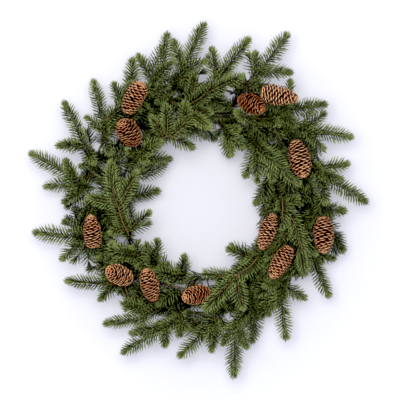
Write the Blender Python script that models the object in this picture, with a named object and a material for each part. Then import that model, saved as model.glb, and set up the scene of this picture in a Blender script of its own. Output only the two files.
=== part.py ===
"""Artificial pine wreath, 60 cm, lying on its back: +Z is its front and +Y is the top of its face.

Every length below is in millimetres, and millimetres() turns it into Blender's metres. The places
are measured from the middle of the two hoops. The last step moves the whole wreath so that the
origin lies under the middle of its box.

The pieces are laid in the order in which the wreath is made up: the welded frame, the bristle wire
that is wound on it, the cones on their wires, and then the sprays, each hooked on a hoop. Each piece
is entered in one Crowd as rods, and each later piece is kept clear of the rods that are there.
"""

import math

import bmesh
import bpy
import numpy as np
from mathutils import Vector

# The wire frame: two hoops joined by sloping ties, the inner hoop lifted off the wall.
OUTER_RADIUS = 196.0
INNER_RADIUS = 138.0
WIRE_RADIUS = 2.2
WIRE_SIDES = 5
OUTER_HEIGHT = WIRE_RADIUS * math.cos(math.pi / WIRE_SIDES)
INNER_HEIGHT = 11.0
OUTER_CORNERS = 40
INNER_CORNERS = 32
TIE_RADIUS = 1.7
TIE_SIDES = 4
TIE_ANGLES = (35.0, 92.0, 147.0, 182.5, 216.0, 250.0, 293.5, 337.0)
TIE_END_GAP = 8.0

# The bristle wire that is wound round the inner hoop.
WINDING_RADIUS = 5.2
WINDING_CORE = 1.3
WINDING_SIDES = 3
WINDING_STEP = 7.4
WINDING_TURN = 30.0
WINDING_TURN_GAP = 15.0
BRISTLE_LENGTH = 6.5
BRISTLE_SPREAD = 0.6
BRISTLE_RADII = (1.0, 0.2)

# Stems, and how each is hooked on its hoop: the hook starts at this angle beside the hoop's wire.
STEM_RADIUS = 1.4
STEM_SIDES = 3
HOOK_STARTS = {"outer": 18.0, "inner": -12.0}
HOOK_DRIFT = 2.2
HOOK_GAP = 0.5
HOOK_STEP = 3.1
HOOK_RUN = 13.0
SHOOT_BEND = 0.4
SHOOT_FOLLOW = 0.45
SHOOT_ROOT = 0.92
LIFTS = (0, 5, -5, 10, -10, 15, -15, 20, -20, 26, 32, -26, 38, 45)

# Needles, in whorls of six along each stem.
NEEDLE_LENGTH = 16.0
NEEDLE_RADII = (1.3, 0.1)
NEEDLE_FOOT = 2.2
WHORL_LENGTH = 2.6
WHORL_PITCH = 18.5
WHORL_TURN = math.radians(84.0)
BARE_FOOT = 24.0
BARE_ROOT = 6.5
LEANS = (math.radians(66.0), math.radians(43.0))
TIP_LEANS = (math.radians(48.0), math.radians(24.0))
BENDS = (1.0, 0.62, 0.35)
END_NEEDLE = 0.72
END_SETBACK = 0.8

# Room kept round every piece, the lowest that a needle lies, and how far the search looks round.
CLEARANCE = 0.45
FLOOR = 0.8
SEARCH_REACH = 45.0

# Cones and their wires.
CONE_SIDES = 7
CONE_ROWS = 9
CONE_WIDEST = 0.42
SCALE_LIFT = 3.4
SCALE_REACH = 4.6
CONE_WIRE_RADIUS = 0.9
CONE_WIRE_SIDES = 3
CONE_WIRE_BOW = 10.0
CONE_WIRE_STRAIGHT = 4.0
WIRE_END_GAP = 0.4

# Who owns a rod in the crowd. A spray owns ten numbers: its main stem's and its side shoots'.
OWNER_HOOPS = 0
OWNER_TIES = 1
OWNER_WINDING = 2
OWNER_NEEDLES = 3
OWNER_CONES = 10
OWNER_CONE_WIRES = 30
OWNER_SPRAYS = 100
OWNERS_PER_SPRAY = 10

SMOOTH_ANGLE = math.radians(80.0)
GREEN = (0.045, 0.105, 0.032)
TWIG_BROWN = (0.150, 0.085, 0.040)
CONE_BROWN = (0.360, 0.150, 0.060)
BRISTLE_BROWN = (0.040, 0.025, 0.022)
WIRE_GREY = (0.060, 0.062, 0.058)

# Each spray: the hoop that it hangs on, the angle of its foot, the points that its main stem runs
# through to its furthest needle, and its side shoots, each as a root (x, y) and a tip (x, y, z).
SPRAYS = {
    "spray_top_left": ("outer", 120, [(-84, 196, 24), (-80, 206, 32), (-66, 228, 38), (-56, 291, 32)],
                       [((-82, 203), (-109, 252, 46)), ((-78, 208), (-43, 240, 56))]),
    "spray_top": ("outer", 106, [(-42, 206, 28), (-32, 220, 38), (8, 306, 34)],
                  [((-33, 219), (-48, 277, 56)), ((-30, 222), (12, 238, 62)),
                   ((-50, 196), (-76, 166, 40))]),
    "spray_top_middle": ("inner", 105, [(-26, 158, 34), (3, 178, 50), (25, 204, 54), (86, 280, 40)],
                         [((23, 202), (20, 262, 70)), ((4, 179), (78, 214, 70)),
                          ((-20, 161), (-10, 224, 44)), ((-30, 148), (22, 150, 62))]),
    "spray_top_right": ("outer", 74, [(78, 203, 26), (99, 217, 40), (152, 288, 40)],
                        [((98, 216), (94, 256, 60)), ((99, 216), (160, 219, 52)),
                         ((82, 206), (52, 200, 52))]),
    "spray_right_shoulder": ("inner", 58, [(92, 134, 26), (120, 149, 32), (160, 156, 34), (220, 166, 38)],
                             [((104, 141), (136, 128, 66)), ((128, 150), (168, 127, 56)),
                              ((92, 133), (60, 150, 76)), ((140, 153), (156, 210, 30))]),
    "spray_right_upper": ("outer", 45, [(158, 135, 28), (175, 126, 42), (265, 108, 36)],
                          [((174, 126), (216, 151, 58)), ((176, 125), (216, 86, 60))]),
    "spray_right": ("outer", 24, [(186, 68, 24), (195, 56, 34), (212, 42, 40), (289, -5, 36)],
                    [((193, 58), (258, 64, 28)), ((205, 47), (247, 36, 58)),
                     ((200, 51), (216, -10, 58)), ((186, 70), (184, 10, 26))]),
    "spray_right_lower": ("outer", 5, [(202, -2, 20), (210, -24, 22), (228, -50, 20), (249, -91, 26)],
                          [((205, -10), (253, -18, 40)), ((203, -5), (182, -45, 30))]),
    "spray_right_front": ("inner", 12, [(139, 14, 28), (147, -14, 44), (161, -38, 60), (170, -76, 64),
                                        (181, -130, 46)],
                          [((160, -36), (110, -104, 42)), ((163, -44), (202, -96, 48)),
                           ((142, 2), (139, -50, 68)), ((144, -8), (172, 8, 50))]),
    "spray_low_right": ("outer", 342, [(192, -78, 22), (199, -108, 30), (210, -140, 34), (225, -169, 30)],
                        [((196, -88), (236, -102, 22)), ((194, -84), (171, -137, 20))]),
    "spray_low_right_long": ("outer", 322, [(146, -134, 26), (140, -152, 36), (142, -192, 40),
                                            (149, -243, 34)],
                             [((143, -141), (184, -170, 36)), ((141, -148), (116, -201, 22)),
                              ((148, -131), (108, -150, 50))]),
    "spray_bottom_front": ("inner", 325, [(104, -92, 34), (88, -112, 56), (63, -130, 68), (36, -158, 68),
                                          (5, -192, 56)],
                           [((65, -129), (1, -125, 64)), ((66, -129), (75, -189, 74)),
                            ((99, -100), (46, -82, 46)), ((104, -93), (126, -128, 24))]),
    "spray_bottom_long": ("outer", 298, [(80, -188, 24), (62, -214, 40), (60, -250, 42), (58, -307, 34)],
                          [((65, -209), (82, -256, 54)), ((63, -212), (37, -250, 58))]),
    "spray_bottom_dark": ("inner", 310, [(93, -126, 16), (97, -160, 18), (95, -202, 20), (89, -248, 22)],
                          [((96, -150), (108, -196, 14)), ((93, -126), (72, -160, 16))]),
    "spray_bottom": ("outer", 284, [(36, -198, 26), (24, -206, 36), (6, -228, 40), (-38, -272, 36)],
                     [((30, -202), (20, -262, 52)), ((34, -199), (42, -226, 26))]),
    "spray_bottom_left": ("outer", 265, [(-32, -204, 28), (-56, -217, 42), (-88, -235, 42),
                                         (-136, -265, 34)],
                          [((-54, -216), (-60, -253, 58)), ((-57, -218), (-121, -229, 62)),
                           ((-34, -205), (-18, -225, 50)), ((-30, -203), (-36, -238, 22))]),
    "spray_low_left_long": ("outer", 256, [(-70, -190, 24), (-92, -199, 36), (-116, -206, 40),
                                           (-168, -214, 36)],
                            [((-84, -196), (-136, -173, 54)), ((-92, -199), (-104, -232, 24))]),
    "spray_low_left": ("outer", 228, [(-144, -146, 26), (-160, -145, 36), (-233, -139, 32)],
                       [((-146, -146), (-174, -175, 48)), ((-142, -145), (-134, -168, 34))]),
    "spray_left_long": ("outer", 200, [(-194, -68, 24), (-210, -65, 38), (-288, -56, 34)],
                        [((-200, -67), (-239, -104, 52)), ((-192, -69), (-192, -119, 24)),
                         ((-194, -68), (-172, -100, 30)), ((-192, -68), (-238, -34, 24))]),
    "spray_left_upper_long": ("outer", 177, [(-205, 22, 26), (-216, 34, 40), (-240, 52, 42),
                                             (-295, 82, 34)],
                              [((-209, 26), (-271, 22, 26)), ((-214, 32), (-232, 71, 60)),
                               ((-205, 22), (-180, 22, 50)), ((-202, 18), (-238, -6, 34))]),
    "spray_left_shoulder": ("outer", 160, [(-190, 78, 26), (-200, 92, 40), (-214, 126, 42),
                                           (-236, 171, 36)],
                            [((-198, 90), (-249, 93, 56)), ((-188, 76), (-208, 54, 34)),
                             ((-194, 84), (-180, 60, 52))]),
    "spray_left_top": ("outer", 152, [(-171, 106, 26), (-165, 118, 42), (-170, 150, 44), (-185, 209, 34)],
                       [((-166, 116), (-198, 144, 60)), ((-167, 114), (-148, 152, 30)),
                        ((-170, 110), (-154, 76, 52))]),
    "spray_top_left_tall": ("outer", 136, [(-137, 152, 18), (-130, 172, 24), (-120, 194, 32),
                                           (-116, 246, 36)],
                            [((-134, 160), (-150, 202, 46)), ((-122, 190), (-82, 180, 22))]),
    "spray_inner_top_left": ("inner", 128, [(-72, 108, 34), (-57, 109, 54), (-36, 124, 62), (-14, 141, 66),
                                            (20, 122, 84)],
                             [((-56, 109), (-9, 88, 52)), ((-58, 109), (-60, 166, 80)),
                              ((-44, 118), (-16, 112, 44)), ((-64, 108), (-86, 146, 62)),
                              ((-28, 131), (-26, 170, 72))]),
    "spray_inner_left_upper": ("inner", 155, [(-114, 68, 32), (-101, 82, 50), (-84, 92, 58), (-61, 102, 58)],
                               [((-112, 70), (-49, 70, 26)), ((-112, 72), (-128, 90, 54)),
                                ((-106, 78), (-90, 60, 60))]),
    "spray_inner_left": ("inner", 209, [(-124, -58, 34), (-134, -36, 50), (-140, -14, 60), (-150, 18, 66),
                                        (-153, 70, 52)],
                         [((-125, -56), (-83, -19, 54)), ((-140, -15), (-104, 52, 64)),
                          ((-140, -12), (-197, 5, 56)), ((-127, -52), (-158, -58, 56))]),
    "spray_inner_left_low": ("inner", 184, [(-128, 0, 20), (-112, 8, 22), (-70, 16, 22)],
                             [((-130, -1), (-140, 38, 34)), ((-126, 1), (-108, 32, 26))]),
    "spray_inner_low_left": ("inner", 223, [(-112, -94, 34), (-126, -92, 52), (-144, -88, 60),
                                            (-153, -70, 58)],
                             [((-116, -93), (-153, -110, 44)), ((-112, -94), (-104, -70, 32))]),
    "spray_inner_bottom_left": ("inner", 240, [(-76, -116, 30), (-80, -106, 44), (-76, -88, 52),
                                               (-72, -66, 50)],
                                [((-78, -112), (-95, -72, 40)), ((-75, -117), (-112, -112, 38))]),
    "spray_inner_bottom": ("inner", 261, [(-30, -134, 28), (-46, -133, 40), (-84, -122, 40)],
                           [((-28, -134), (-26, -93, 42)), ((-34, -134), (-60, -108, 30)),
                            ((-32, -134), (-58, -150, 50))]),
    "spray_low_middle": ("inner", 268, [(-20, -152, 22), (-44, -150, 26), (-68, -146, 24),
                                        (-120, -158, 22)],
                         [((-32, -152), (-76, -184, 34)), ((-22, -152), (4, -182, 22))]),
    "spray_inner_right_upper": ("inner", 48, [(96, 98, 36), (104, 88, 56), (134, 62, 64), (173, 25, 54)],
                                [((98, 95), (98, 29, 56)), ((96, 98), (77, 38, 40)),
                                 ((104, 88), (140, 78, 48)), ((118, 76), (124, 30, 54))]),
    "spray_inner_top_right": ("inner", 78, [(38, 124, 32), (48, 112, 48), (54, 74, 50)],
                              [((40, 120), (76, 87, 54)), ((36, 126), (22, 104, 18)),
                               ((38, 124), (72, 122, 44))]),
    "spray_inner_right": ("inner", 21, [(121, 40, 28), (114, 22, 38), (94, -10, 36)],
                          [((122, 42), (108, -28, 18)), ((124, 44), (154, 20, 24))]),
}

# Each cone: its base (x, y), its tip (x, y), the height of its middle, how much higher its tip is
# than its base, its width, and the hoop and angle that its wire is hooked on.
CONES = {
    "top_left": ((-124, 152), (-101, 197), 75, 8, 39, "outer", 128),
    "left_top": ((-110, 98), (-135, 135), 42, 30, 39, "inner", 140),
    "left": ((-182, -82), (-188, -25), 56, 14, 36, "outer", 205),
    "low_left": ((-118, -139), (-160, -118), 56, 40, 38, "outer", 233),
    "low": ((-79, -173), (-94, -118), 56, 20, 37, "outer", 245),
    "bottom": ((16, -158), (-30, -168), 52, 38, 33, "inner", 277),
    "low_right": ((155, -80), (122, -134), 64, 8, 37, "outer", 331),
    "right_inner": ((127, -25), (105, -84), 60, 6, 33, "inner", 349),
    "right": ((212, -28), (213, -92), 54, 8, 39, "outer", 352),
    "right_upper": ((163, 103), (179, 39), 56, 10, 38, "outer", 30),
    "top_right": ((105, 185), (167, 173), 76, 0, 38, "outer", 57),
    "top_right_inner": ((67, 176), (111, 154), 46, 26, 37, "outer", 68),
}

# Each hoop: its radius, the height of its wire's middle and how many corners it is drawn with.
HOOPS = {
    "outer": (OUTER_RADIUS, OUTER_HEIGHT, OUTER_CORNERS),
    "inner": (INNER_RADIUS, INNER_HEIGHT, INNER_CORNERS),
}


def millimetres(point):
    return Vector(point) * 0.001


def unit(vector):
    return vector / np.linalg.norm(vector)


def clear_scene():
    for thing in list(bpy.data.objects):
        bpy.data.objects.remove(thing, do_unlink=True)


def material(name, colour, roughness, metallic=0.0):
    made = bpy.data.materials.new(name)
    made.use_nodes = True
    shader = made.node_tree.nodes["Principled BSDF"]
    shader.inputs["Base Color"].default_value = (*colour, 1.0)
    shader.inputs["Roughness"].default_value = roughness
    shader.inputs["Metallic"].default_value = metallic
    return made


def closest(start, end, starts, ends):
    """Distances from one segment to each of many, and how far along each the nearest points lie."""
    along, others, between = end - start, ends - starts, start - starts
    a = along @ along
    e = np.maximum((others * others).sum(1), 1e-9)
    b, c, f = others @ along, between @ along, (others * between).sum(1)
    spread = a * e - b * b
    s = np.where(spread > 1e-9, np.clip((b * f - c * e) / np.maximum(spread, 1e-9), 0, 1), 0)
    t = (b * s + f) / e
    s = np.where(t < 0, np.clip(-c / a, 0, 1), np.where(t > 1, np.clip((b - c) / a, 0, 1), s))
    t = np.clip(t, 0, 1)
    apart = between + s[:, None] * along - t[:, None] * others
    return np.sqrt((apart * apart).sum(1)), s, t


class Crowd:
    """Every round-ended rod placed so far, as segments with a radius at each end and an owner."""

    def __init__(self):
        self.rows = np.empty((0, 9))

    def add(self, starts, ends, radii, end_radii, owner):
        count = len(starts)
        extra = np.column_stack([starts, ends, np.full(count, radii), np.full(count, end_radii),
                                 np.full(count, owner)])
        self.rows = np.vstack([self.rows, extra])

    def room(self, start, end, radius, end_radius, skip=()):
        """The smallest gap from this rod to the crowd, leaving out the owners in skip."""
        rows = self.rows[~np.isin(self.rows[:, 8], skip)]
        middle = (start + end) / 2
        reach = np.linalg.norm(end - start) / 2 + SEARCH_REACH
        rows = rows[np.abs(rows[:, :3] - middle).max(1) < reach]
        if not len(rows):
            return SEARCH_REACH
        distance, s, t = closest(start, end, rows[:, :3], rows[:, 3:6])
        mine = radius + (end_radius - radius) * s
        theirs = rows[:, 6] + (rows[:, 7] - rows[:, 6]) * t
        return float((distance - mine - theirs).min())


def smooth(points, pieces=12):
    """A Catmull-Rom curve through the points, as a dense line of points."""
    points = np.array(points, float)
    padded = np.vstack([2 * points[0] - points[1], points, 2 * points[-1] - points[-2]])
    share = np.linspace(0, 1, pieces, endpoint=False)[:, None]
    spans = []
    for p0, p1, p2, p3 in zip(padded, padded[1:], padded[2:], padded[3:]):
        chords = [max(np.linalg.norm(b - a), 1e-6) ** 0.5 for a, b in ((p0, p1), (p1, p2), (p2, p3))]
        m1 = (p1 - p0) / chords[0] - (p2 - p0) / (chords[0] + chords[1]) + (p2 - p1) / chords[1]
        m2 = (p2 - p1) / chords[1] - (p3 - p1) / (chords[1] + chords[2]) + (p3 - p2) / chords[2]
        m1, m2 = m1 * chords[1], m2 * chords[1]
        spans.append((2 * share**3 - 3 * share**2 + 1) * p1 + (share**3 - 2 * share**2 + share) * m1
                     + (3 * share**2 - 2 * share**3) * p2 + (share**3 - share**2) * m2)
    return np.vstack([*spans, points[-1:]])


def lengths(line):
    return np.concatenate([[0], np.cumsum(np.linalg.norm(np.diff(line, axis=0), axis=1))])


def at(line, distances):
    """The points at these distances along a line."""
    run = lengths(line)
    return np.column_stack([np.interp(distances, run, line[:, axis]) for axis in range(3)])


def on_hoop(hoop, angle, around, distance):
    """A point beside a hoop: around is 0 on its outer side, 90 on top and 180 on its inner side."""
    radius, height, _ = HOOPS[hoop]
    turn, lean = math.radians(angle), math.radians(around)
    out = radius + distance * math.cos(lean)
    return np.array([out * math.cos(turn), out * math.sin(turn), height + distance * math.sin(lean)])


def hook(hoop, angle, distance, inward):
    """The foot that grips a hoop: up one side of it and over its top, drifting clockwise."""
    start = HOOK_STARTS[hoop]
    around = [start, (start + 90) / 2, 90]
    if not inward:
        around = [180 - turn for turn in around]
    drift = math.degrees(HOOK_DRIFT / HOOPS[hoop][0])
    return [on_hoop(hoop, angle - step * drift, turn, distance) for step, turn in enumerate(around)]


def frames(line):
    """Two sides square to the line at each point, carried along without spin."""
    tangents = np.gradient(line, axis=0)
    tangents /= np.linalg.norm(tangents, axis=1)[:, None]
    side = np.cross(tangents[0], (0, 0, 1) if abs(tangents[0][2]) < 0.9 else (1, 0, 0))
    rows = []
    for tangent in tangents:
        side = unit(side - tangent * (side @ tangent))
        rows.append((side, np.cross(tangent, side)))
    return rows


def ring_points(line, radii, turns, sides):
    """A ring of corners round each point of a line."""
    rings = []
    for point, (side, up), radius, turn in zip(line, frames(line), radii, turns):
        angles = turn + np.arange(sides) * 2 * math.pi / sides
        rings.append(point + radius * (np.cos(angles)[:, None] * side + np.sin(angles)[:, None] * up))
    return rings


def band(mesh, lower, upper):
    """Triangles from one ring of corners to the next, which is turned by half a corner."""
    made = []
    for i in range(len(lower)):
        j = (i + 1) % len(lower)
        made.append(mesh.faces.new((lower[i], lower[j], upper[i])))
        made.append(mesh.faces.new((lower[j], upper[j], upper[i])))
    return made


def skin(mesh, rings):
    """A closed rod through the rings of corners. Returns its bands of triangles and its last cap."""
    corners = [[mesh.verts.new(point) for point in ring] for ring in rings]
    bands = [band(mesh, lower, upper) for lower, upper in zip(corners, corners[1:])]
    mesh.faces.new(corners[0])
    return bands, mesh.faces.new(corners[-1])


def raise_tip(mesh, face, tip):
    """Draws a face out to a point, as a needle, a bristle or a scale, in the first material."""
    made = bmesh.ops.poke(mesh, faces=[face])
    made["verts"][0].co = tip
    for piece in made["faces"]:
        piece.material_index = 0


def new_object(name, mesh, place, materials, parent):
    """An object whose mesh is in millimetres about the place where it stands."""
    bmesh.ops.recalc_face_normals(mesh, faces=mesh.faces[:])
    for vertex in mesh.verts:
        vertex.co = millimetres(vertex.co)
    data = bpy.data.meshes.new(name)
    mesh.to_mesh(data)
    mesh.free()
    data.shade_smooth()
    data.set_sharp_from_angle(angle=SMOOTH_ANGLE)
    made = bpy.data.objects.new(name, data)
    for entry in materials:
        data.materials.append(entry)
    made.parent = parent
    made.location = millimetres(place)
    bpy.context.scene.collection.objects.link(made)
    return made


def fuse(base, pieces):
    """Joins the pieces to the base in one Boolean union, and removes them."""
    group = bpy.data.collections.new(base.name + "_pieces")
    bpy.context.scene.collection.children.link(group)
    for piece in pieces:
        bpy.context.scene.collection.objects.unlink(piece)
        group.objects.link(piece)
    union = base.modifiers.new("union", "BOOLEAN")
    union.operation = "UNION"
    union.operand_type = "COLLECTION"
    union.collection = group
    union.solver = "EXACT"
    bpy.context.view_layer.update()
    graph = bpy.context.evaluated_depsgraph_get()
    joined = bpy.data.meshes.new_from_object(base.evaluated_get(graph))
    base.modifiers.clear()
    base.data = joined
    for piece in pieces:
        bpy.data.objects.remove(piece, do_unlink=True)
    bpy.data.collections.remove(group)


def hoop_object(name, hoop, wire, parent):
    """A hoop of wire whose lowest side is a flat. Its corners lie as far out as its flats lie in."""
    radius, height, corners = HOOPS[hoop]
    radius /= math.sqrt(math.cos(math.pi / corners))
    around = np.arange(WIRE_SIDES) * 2 * math.pi / WIRE_SIDES + math.pi / 2
    mesh = bmesh.new()
    rings = []
    for angle in np.arange(corners) * 2 * math.pi / corners:
        out = radius + WIRE_RADIUS * np.cos(around)
        ring = np.column_stack([out * math.cos(angle), out * math.sin(angle),
                                height + WIRE_RADIUS * np.sin(around)])
        rings.append([mesh.verts.new(point) for point in ring])
    for lower, upper in zip(rings, rings[1:] + rings[:1]):
        for i in range(WIRE_SIDES):
            j = (i + 1) % WIRE_SIDES
            mesh.faces.new((lower[i], lower[j], upper[j], upper[i]))
    return new_object(name, mesh, (0, 0, 0), [wire], parent)


def tie_object(angle, wire, parent):
    """A straight tie that runs from the middle of one hoop's wire to the middle of the other's."""
    ends = np.array([on_hoop("outer", angle, 0, 0), on_hoop("inner", angle, 0, 0)])
    turns = [0.0, math.pi / TIE_SIDES]
    mesh = bmesh.new()
    skin(mesh, ring_points(ends, [TIE_RADIUS] * 2, turns, TIE_SIDES))
    return new_object("tie", mesh, (0, 0, 0), [wire], parent)


def build_frame(crowd, wire, parent):
    """The two hoops and their ties, as one welded piece."""
    frame = hoop_object("wire_frame", "outer", wire, parent)
    pieces = [hoop_object("inner_hoop", "inner", wire, parent)]
    pieces += [tie_object(angle, wire, parent) for angle in TIE_ANGLES]
    fuse(frame, pieces)
    for radius, height, corners in HOOPS.values():
        angles = np.arange(corners) * 2 * math.pi / corners
        line = np.column_stack([radius * np.cos(angles), radius * np.sin(angles),
                                np.full(corners, height)])
        crowd.add(line, np.roll(line, -1, axis=0), WIRE_RADIUS, WIRE_RADIUS, OWNER_HOOPS)
    inner = np.array([on_hoop("inner", angle, 0, TIE_END_GAP) for angle in TIE_ANGLES])
    outer = np.array([on_hoop("outer", angle, 180, TIE_END_GAP) for angle in TIE_ANGLES])
    crowd.add(inner, outer, TIE_RADIUS, TIE_RADIUS, OWNER_TIES)


def winding_line():
    """The bristle wire's path: under the inner hoop at each foot, and round it in between.

    Between two feet it makes a whole number of turns, slow at both ends, so that it is under the
    hoop where a hook grips the hoop's side and top. Its number of points is even.
    """
    feet = [angle for hoop, angle, _, _ in SPRAYS.values() if hoop == "inner"]
    feet += [angle for *_, hoop, angle in CONES.values() if hoop == "inner"]
    feet = sorted(feet)
    points, turned = [], -90.0
    for here, there in zip(feet, feet[1:] + [feet[0] + 360]):
        gap = there - here
        turns = max(1, round(gap / WINDING_TURN)) if gap >= WINDING_TURN_GAP else 0
        steps = max(2, round(math.radians(gap) * INNER_RADIUS / WINDING_STEP))
        for share in np.arange(steps) / steps:
            around = turned + 360 * turns * share * share * (3 - 2 * share)
            points.append(on_hoop("inner", here + gap * share, around, WINDING_RADIUS))
        turned += 360 * turns
    return np.array(points[:len(points) - len(points) % 2])


def closing_order(lower, upper):
    """The ring upper, started at the corner that makes the shortest band from lower."""
    count = len(lower)
    turned = [upper[k:] + upper[:k] for k in range(count)]
    return min(turned, key=lambda ring: sum((lower[i].co - ring[i].co).length
                                            + (lower[(i + 1) % count].co - ring[i].co).length
                                            for i in range(count)))


def build_winding(line, crowd, bristle, parent):
    """The bristle wire: a closed winding with stiff bristles drawn out of every other face."""
    count = len(line)
    looped = np.vstack([line[-1:], line, line[:1]])
    turns = np.arange(count + 2) * math.pi / WINDING_SIDES
    mesh = bmesh.new()
    rings = ring_points(looped, [WINDING_CORE] * (count + 2), turns, WINDING_SIDES)[1:-1]
    corners = [[mesh.verts.new(point) for point in ring] for ring in rings]
    bands = [band(mesh, lower, upper) for lower, upper in zip(corners, corners[1:])]
    bands.append(band(mesh, corners[-1], closing_order(corners[-1], corners[0])))
    radius, height, _ = HOOPS["inner"]
    for k, faces in enumerate(bands):
        centre = (line[k] + line[(k + 1) % count]) / 2
        outward = unit(np.array([centre[0], centre[1], 0.0]))
        away = unit(centre - outward * radius - (0, 0, height))
        for face in faces[2 * (k % 2)::4]:
            middle = np.array(face.calc_center_median())
            out = unit(middle - centre)
            tip = middle + BRISTLE_LENGTH * unit(out + BRISTLE_SPREAD * away)
            tip[2] = max(tip[2], FLOOR)
            if out @ away > 0 and crowd.room(middle, tip, *BRISTLE_RADII, (OWNER_WINDING,)) > CLEARANCE:
                raise_tip(mesh, face, tip)
                crowd.add(middle[None], tip[None], *BRISTLE_RADII, OWNER_WINDING)
    new_object("bristle_winding", mesh, (0, 0, 0), [bristle], parent)


def cone_radius(share, width):
    """Half the width of a cone's body at a share of its length from the base."""
    return (width / 2 - SCALE_LIFT * 0.8) * max(1 - (abs(share - CONE_WIDEST) / 0.63) ** 2.6, 0.12)


def cone_ends(row):
    base_xy, tip_xy, height, rise, *_ = row
    return np.array([*base_xy, height - rise / 2], float), np.array([*tip_xy, height + rise / 2], float)


def build_cone(name, row, crowd, owner, brown, parent):
    """A cone: rows of diamond scales in staggered rings, each drawn out to a lip that leans forward."""
    base, tip = cone_ends(row)
    width = row[4]
    length = np.linalg.norm(tip - base)
    shares = np.linspace(0, 1, CONE_ROWS)
    radii = [cone_radius(share, width) for share in shares]
    mesh = bmesh.new()
    rings = []
    for ring, (share, radius) in enumerate(zip(shares, radii)):
        angles = (np.arange(CONE_SIDES) + ring / 2) * 2 * math.pi / CONE_SIDES
        rings.append([mesh.verts.new((radius * math.cos(a), radius * math.sin(a), share * length))
                      for a in angles])
    mesh.faces.new(rings[0][::-1])
    mesh.faces.new(rings[-1])
    for i in range(CONE_SIDES):
        j = (i + 1) % CONE_SIDES
        mesh.faces.new((rings[0][i], rings[0][j], rings[1][i]))
        mesh.faces.new((rings[-1][i], rings[-2][j], rings[-1][j]))
        for ring in range(1, CONE_ROWS - 1):
            left, right = rings[ring][i], rings[ring][j]
            face = mesh.faces.new((left, rings[ring - 1][j], right, rings[ring + 1][i]))
            middle = (left.co + right.co) / 2
            out = Vector((middle.x, middle.y, 0)).normalized()
            reach = SCALE_REACH * (0.6 + 0.4 * math.sin(math.pi * shares[ring]))
            raise_tip(mesh, face, middle + out * SCALE_LIFT + Vector((0, 0, reach)))
    made = new_object(f"cone_{name}", mesh, base, [brown], parent)
    made.rotation_mode = "QUATERNION"
    made.rotation_quaternion = Vector(tip - base).to_track_quat("Z", "Y")
    spots = base + (tip - base) * shares[:, None]
    for spot, following, radius, next_radius in zip(spots, spots[1:], radii, radii[1:]):
        crowd.add(spot[None], following[None], radius + SCALE_LIFT, next_radius + SCALE_LIFT, owner)


def build_cone_wire(name, row, crowd, owner, wire, parent):
    """The wire that carries a cone: hooked over its hoop and running up to the middle of its base."""
    base, tip = cone_ends(row)
    axis = unit(tip - base)
    foot = hook(row[5], row[6], WIRE_RADIUS + CONE_WIRE_RADIUS + HOOK_GAP, False)
    end = base - axis * WIRE_END_GAP
    bow = CONE_WIRE_BOW * unit(np.array([foot[-1][0], foot[-1][1], 0.0]))
    straight = axis * CONE_WIRE_STRAIGHT
    line = smooth([*foot, (foot[-1] + end) / 2 + bow - straight, end - straight], 6)
    stations = [0, HOOK_STEP, *np.linspace(2 * HOOK_STEP, lengths(line)[-1], 5)]
    points = np.vstack([at(line, stations), end])
    turns = np.arange(len(points)) * math.pi / CONE_WIRE_SIDES
    mesh = bmesh.new()
    skin(mesh, ring_points(points, [CONE_WIRE_RADIUS] * len(points), turns, CONE_WIRE_SIDES))
    new_object(f"cone_wire_{name}", mesh, (0, 0, 0), [wire], parent)
    crowd.add(points[:-1], points[1:], CONE_WIRE_RADIUS, CONE_WIRE_RADIUS, owner)


def lifted(line, lift, still):
    """The line with a hump of this height, which leaves its first stretch where it is."""
    run = lengths(line)
    share = np.clip((run - still) / (run[-1] - still), 0, 1)
    moved = line.copy()
    moved[:, 2] += lift * np.sin(math.pi * share**0.8) + lift * 0.4 * share**2
    return moved


def is_clear(line, crowd, own, start, hooked):
    """Whether a stem along this line keeps off the floor and the crowd from this distance on."""
    length = lengths(line)[-1]
    stations = np.linspace(start, length, max(3, round(length / 5)))
    points = at(line, stations)
    if points[:, 2].min() < STEM_RADIUS + FLOOR:
        return False
    for station, here, there in zip(stations, points, points[1:]):
        skip = [*own, OWNER_HOOPS] if hooked and station < HOOK_RUN else own
        if crowd.room(here, there, STEM_RADIUS, STEM_RADIUS, skip) < CLEARANCE:
            return False
    return True


def clear_line(name, line, crowd, own, start, hooked):
    """The line with the smallest hump that keeps it clear of the crowd."""
    for lift in LIFTS:
        moved = lifted(line, lift, HOOK_RUN / 2 if hooked else 0)
        if is_clear(moved, crowd, own, start, hooked):
            return moved
    print(f"{name}: no clear way for a stem from {np.round(line[0])} to {np.round(line[-1])}")
    return line


def stem_end(line):
    """The line cut back so that its last needles, not its wood, reach the given tip."""
    return at(line, np.linspace(0, lengths(line)[-1] - END_SETBACK * NEEDLE_LENGTH, len(line)))


def main_stem(hoop, angle, points):
    """A spray's main stem, from its hook on the hoop through its points."""
    inward = hoop == "inner" and np.hypot(*points[0][:2]) < INNER_RADIUS
    foot = hook(hoop, angle, WIRE_RADIUS + STEM_RADIUS + HOOK_GAP, inward)
    return stem_end(smooth([*foot, *points]))


def side_shoot(main, root_xy, tip):
    """A side shoot that leaves the main stem along it and bends towards its own tip."""
    here = int(np.argmin(np.hypot(*(main[:, :2] - root_xy).T)))
    here = min(max(here, 1), len(main) - 2)
    root = main[here]
    reach = np.array(tip, float) - root
    leaving = unit(SHOOT_FOLLOW * unit(main[here + 1] - main[here - 1]) + unit(reach))
    bend = root + SHOOT_BEND * np.linalg.norm(reach) * leaving
    share = np.linspace(0, 1, 24)[:, None]
    return stem_end((1 - share)**2 * root + 2 * share * (1 - share) * bend + share**2 * np.array(tip))


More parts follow.
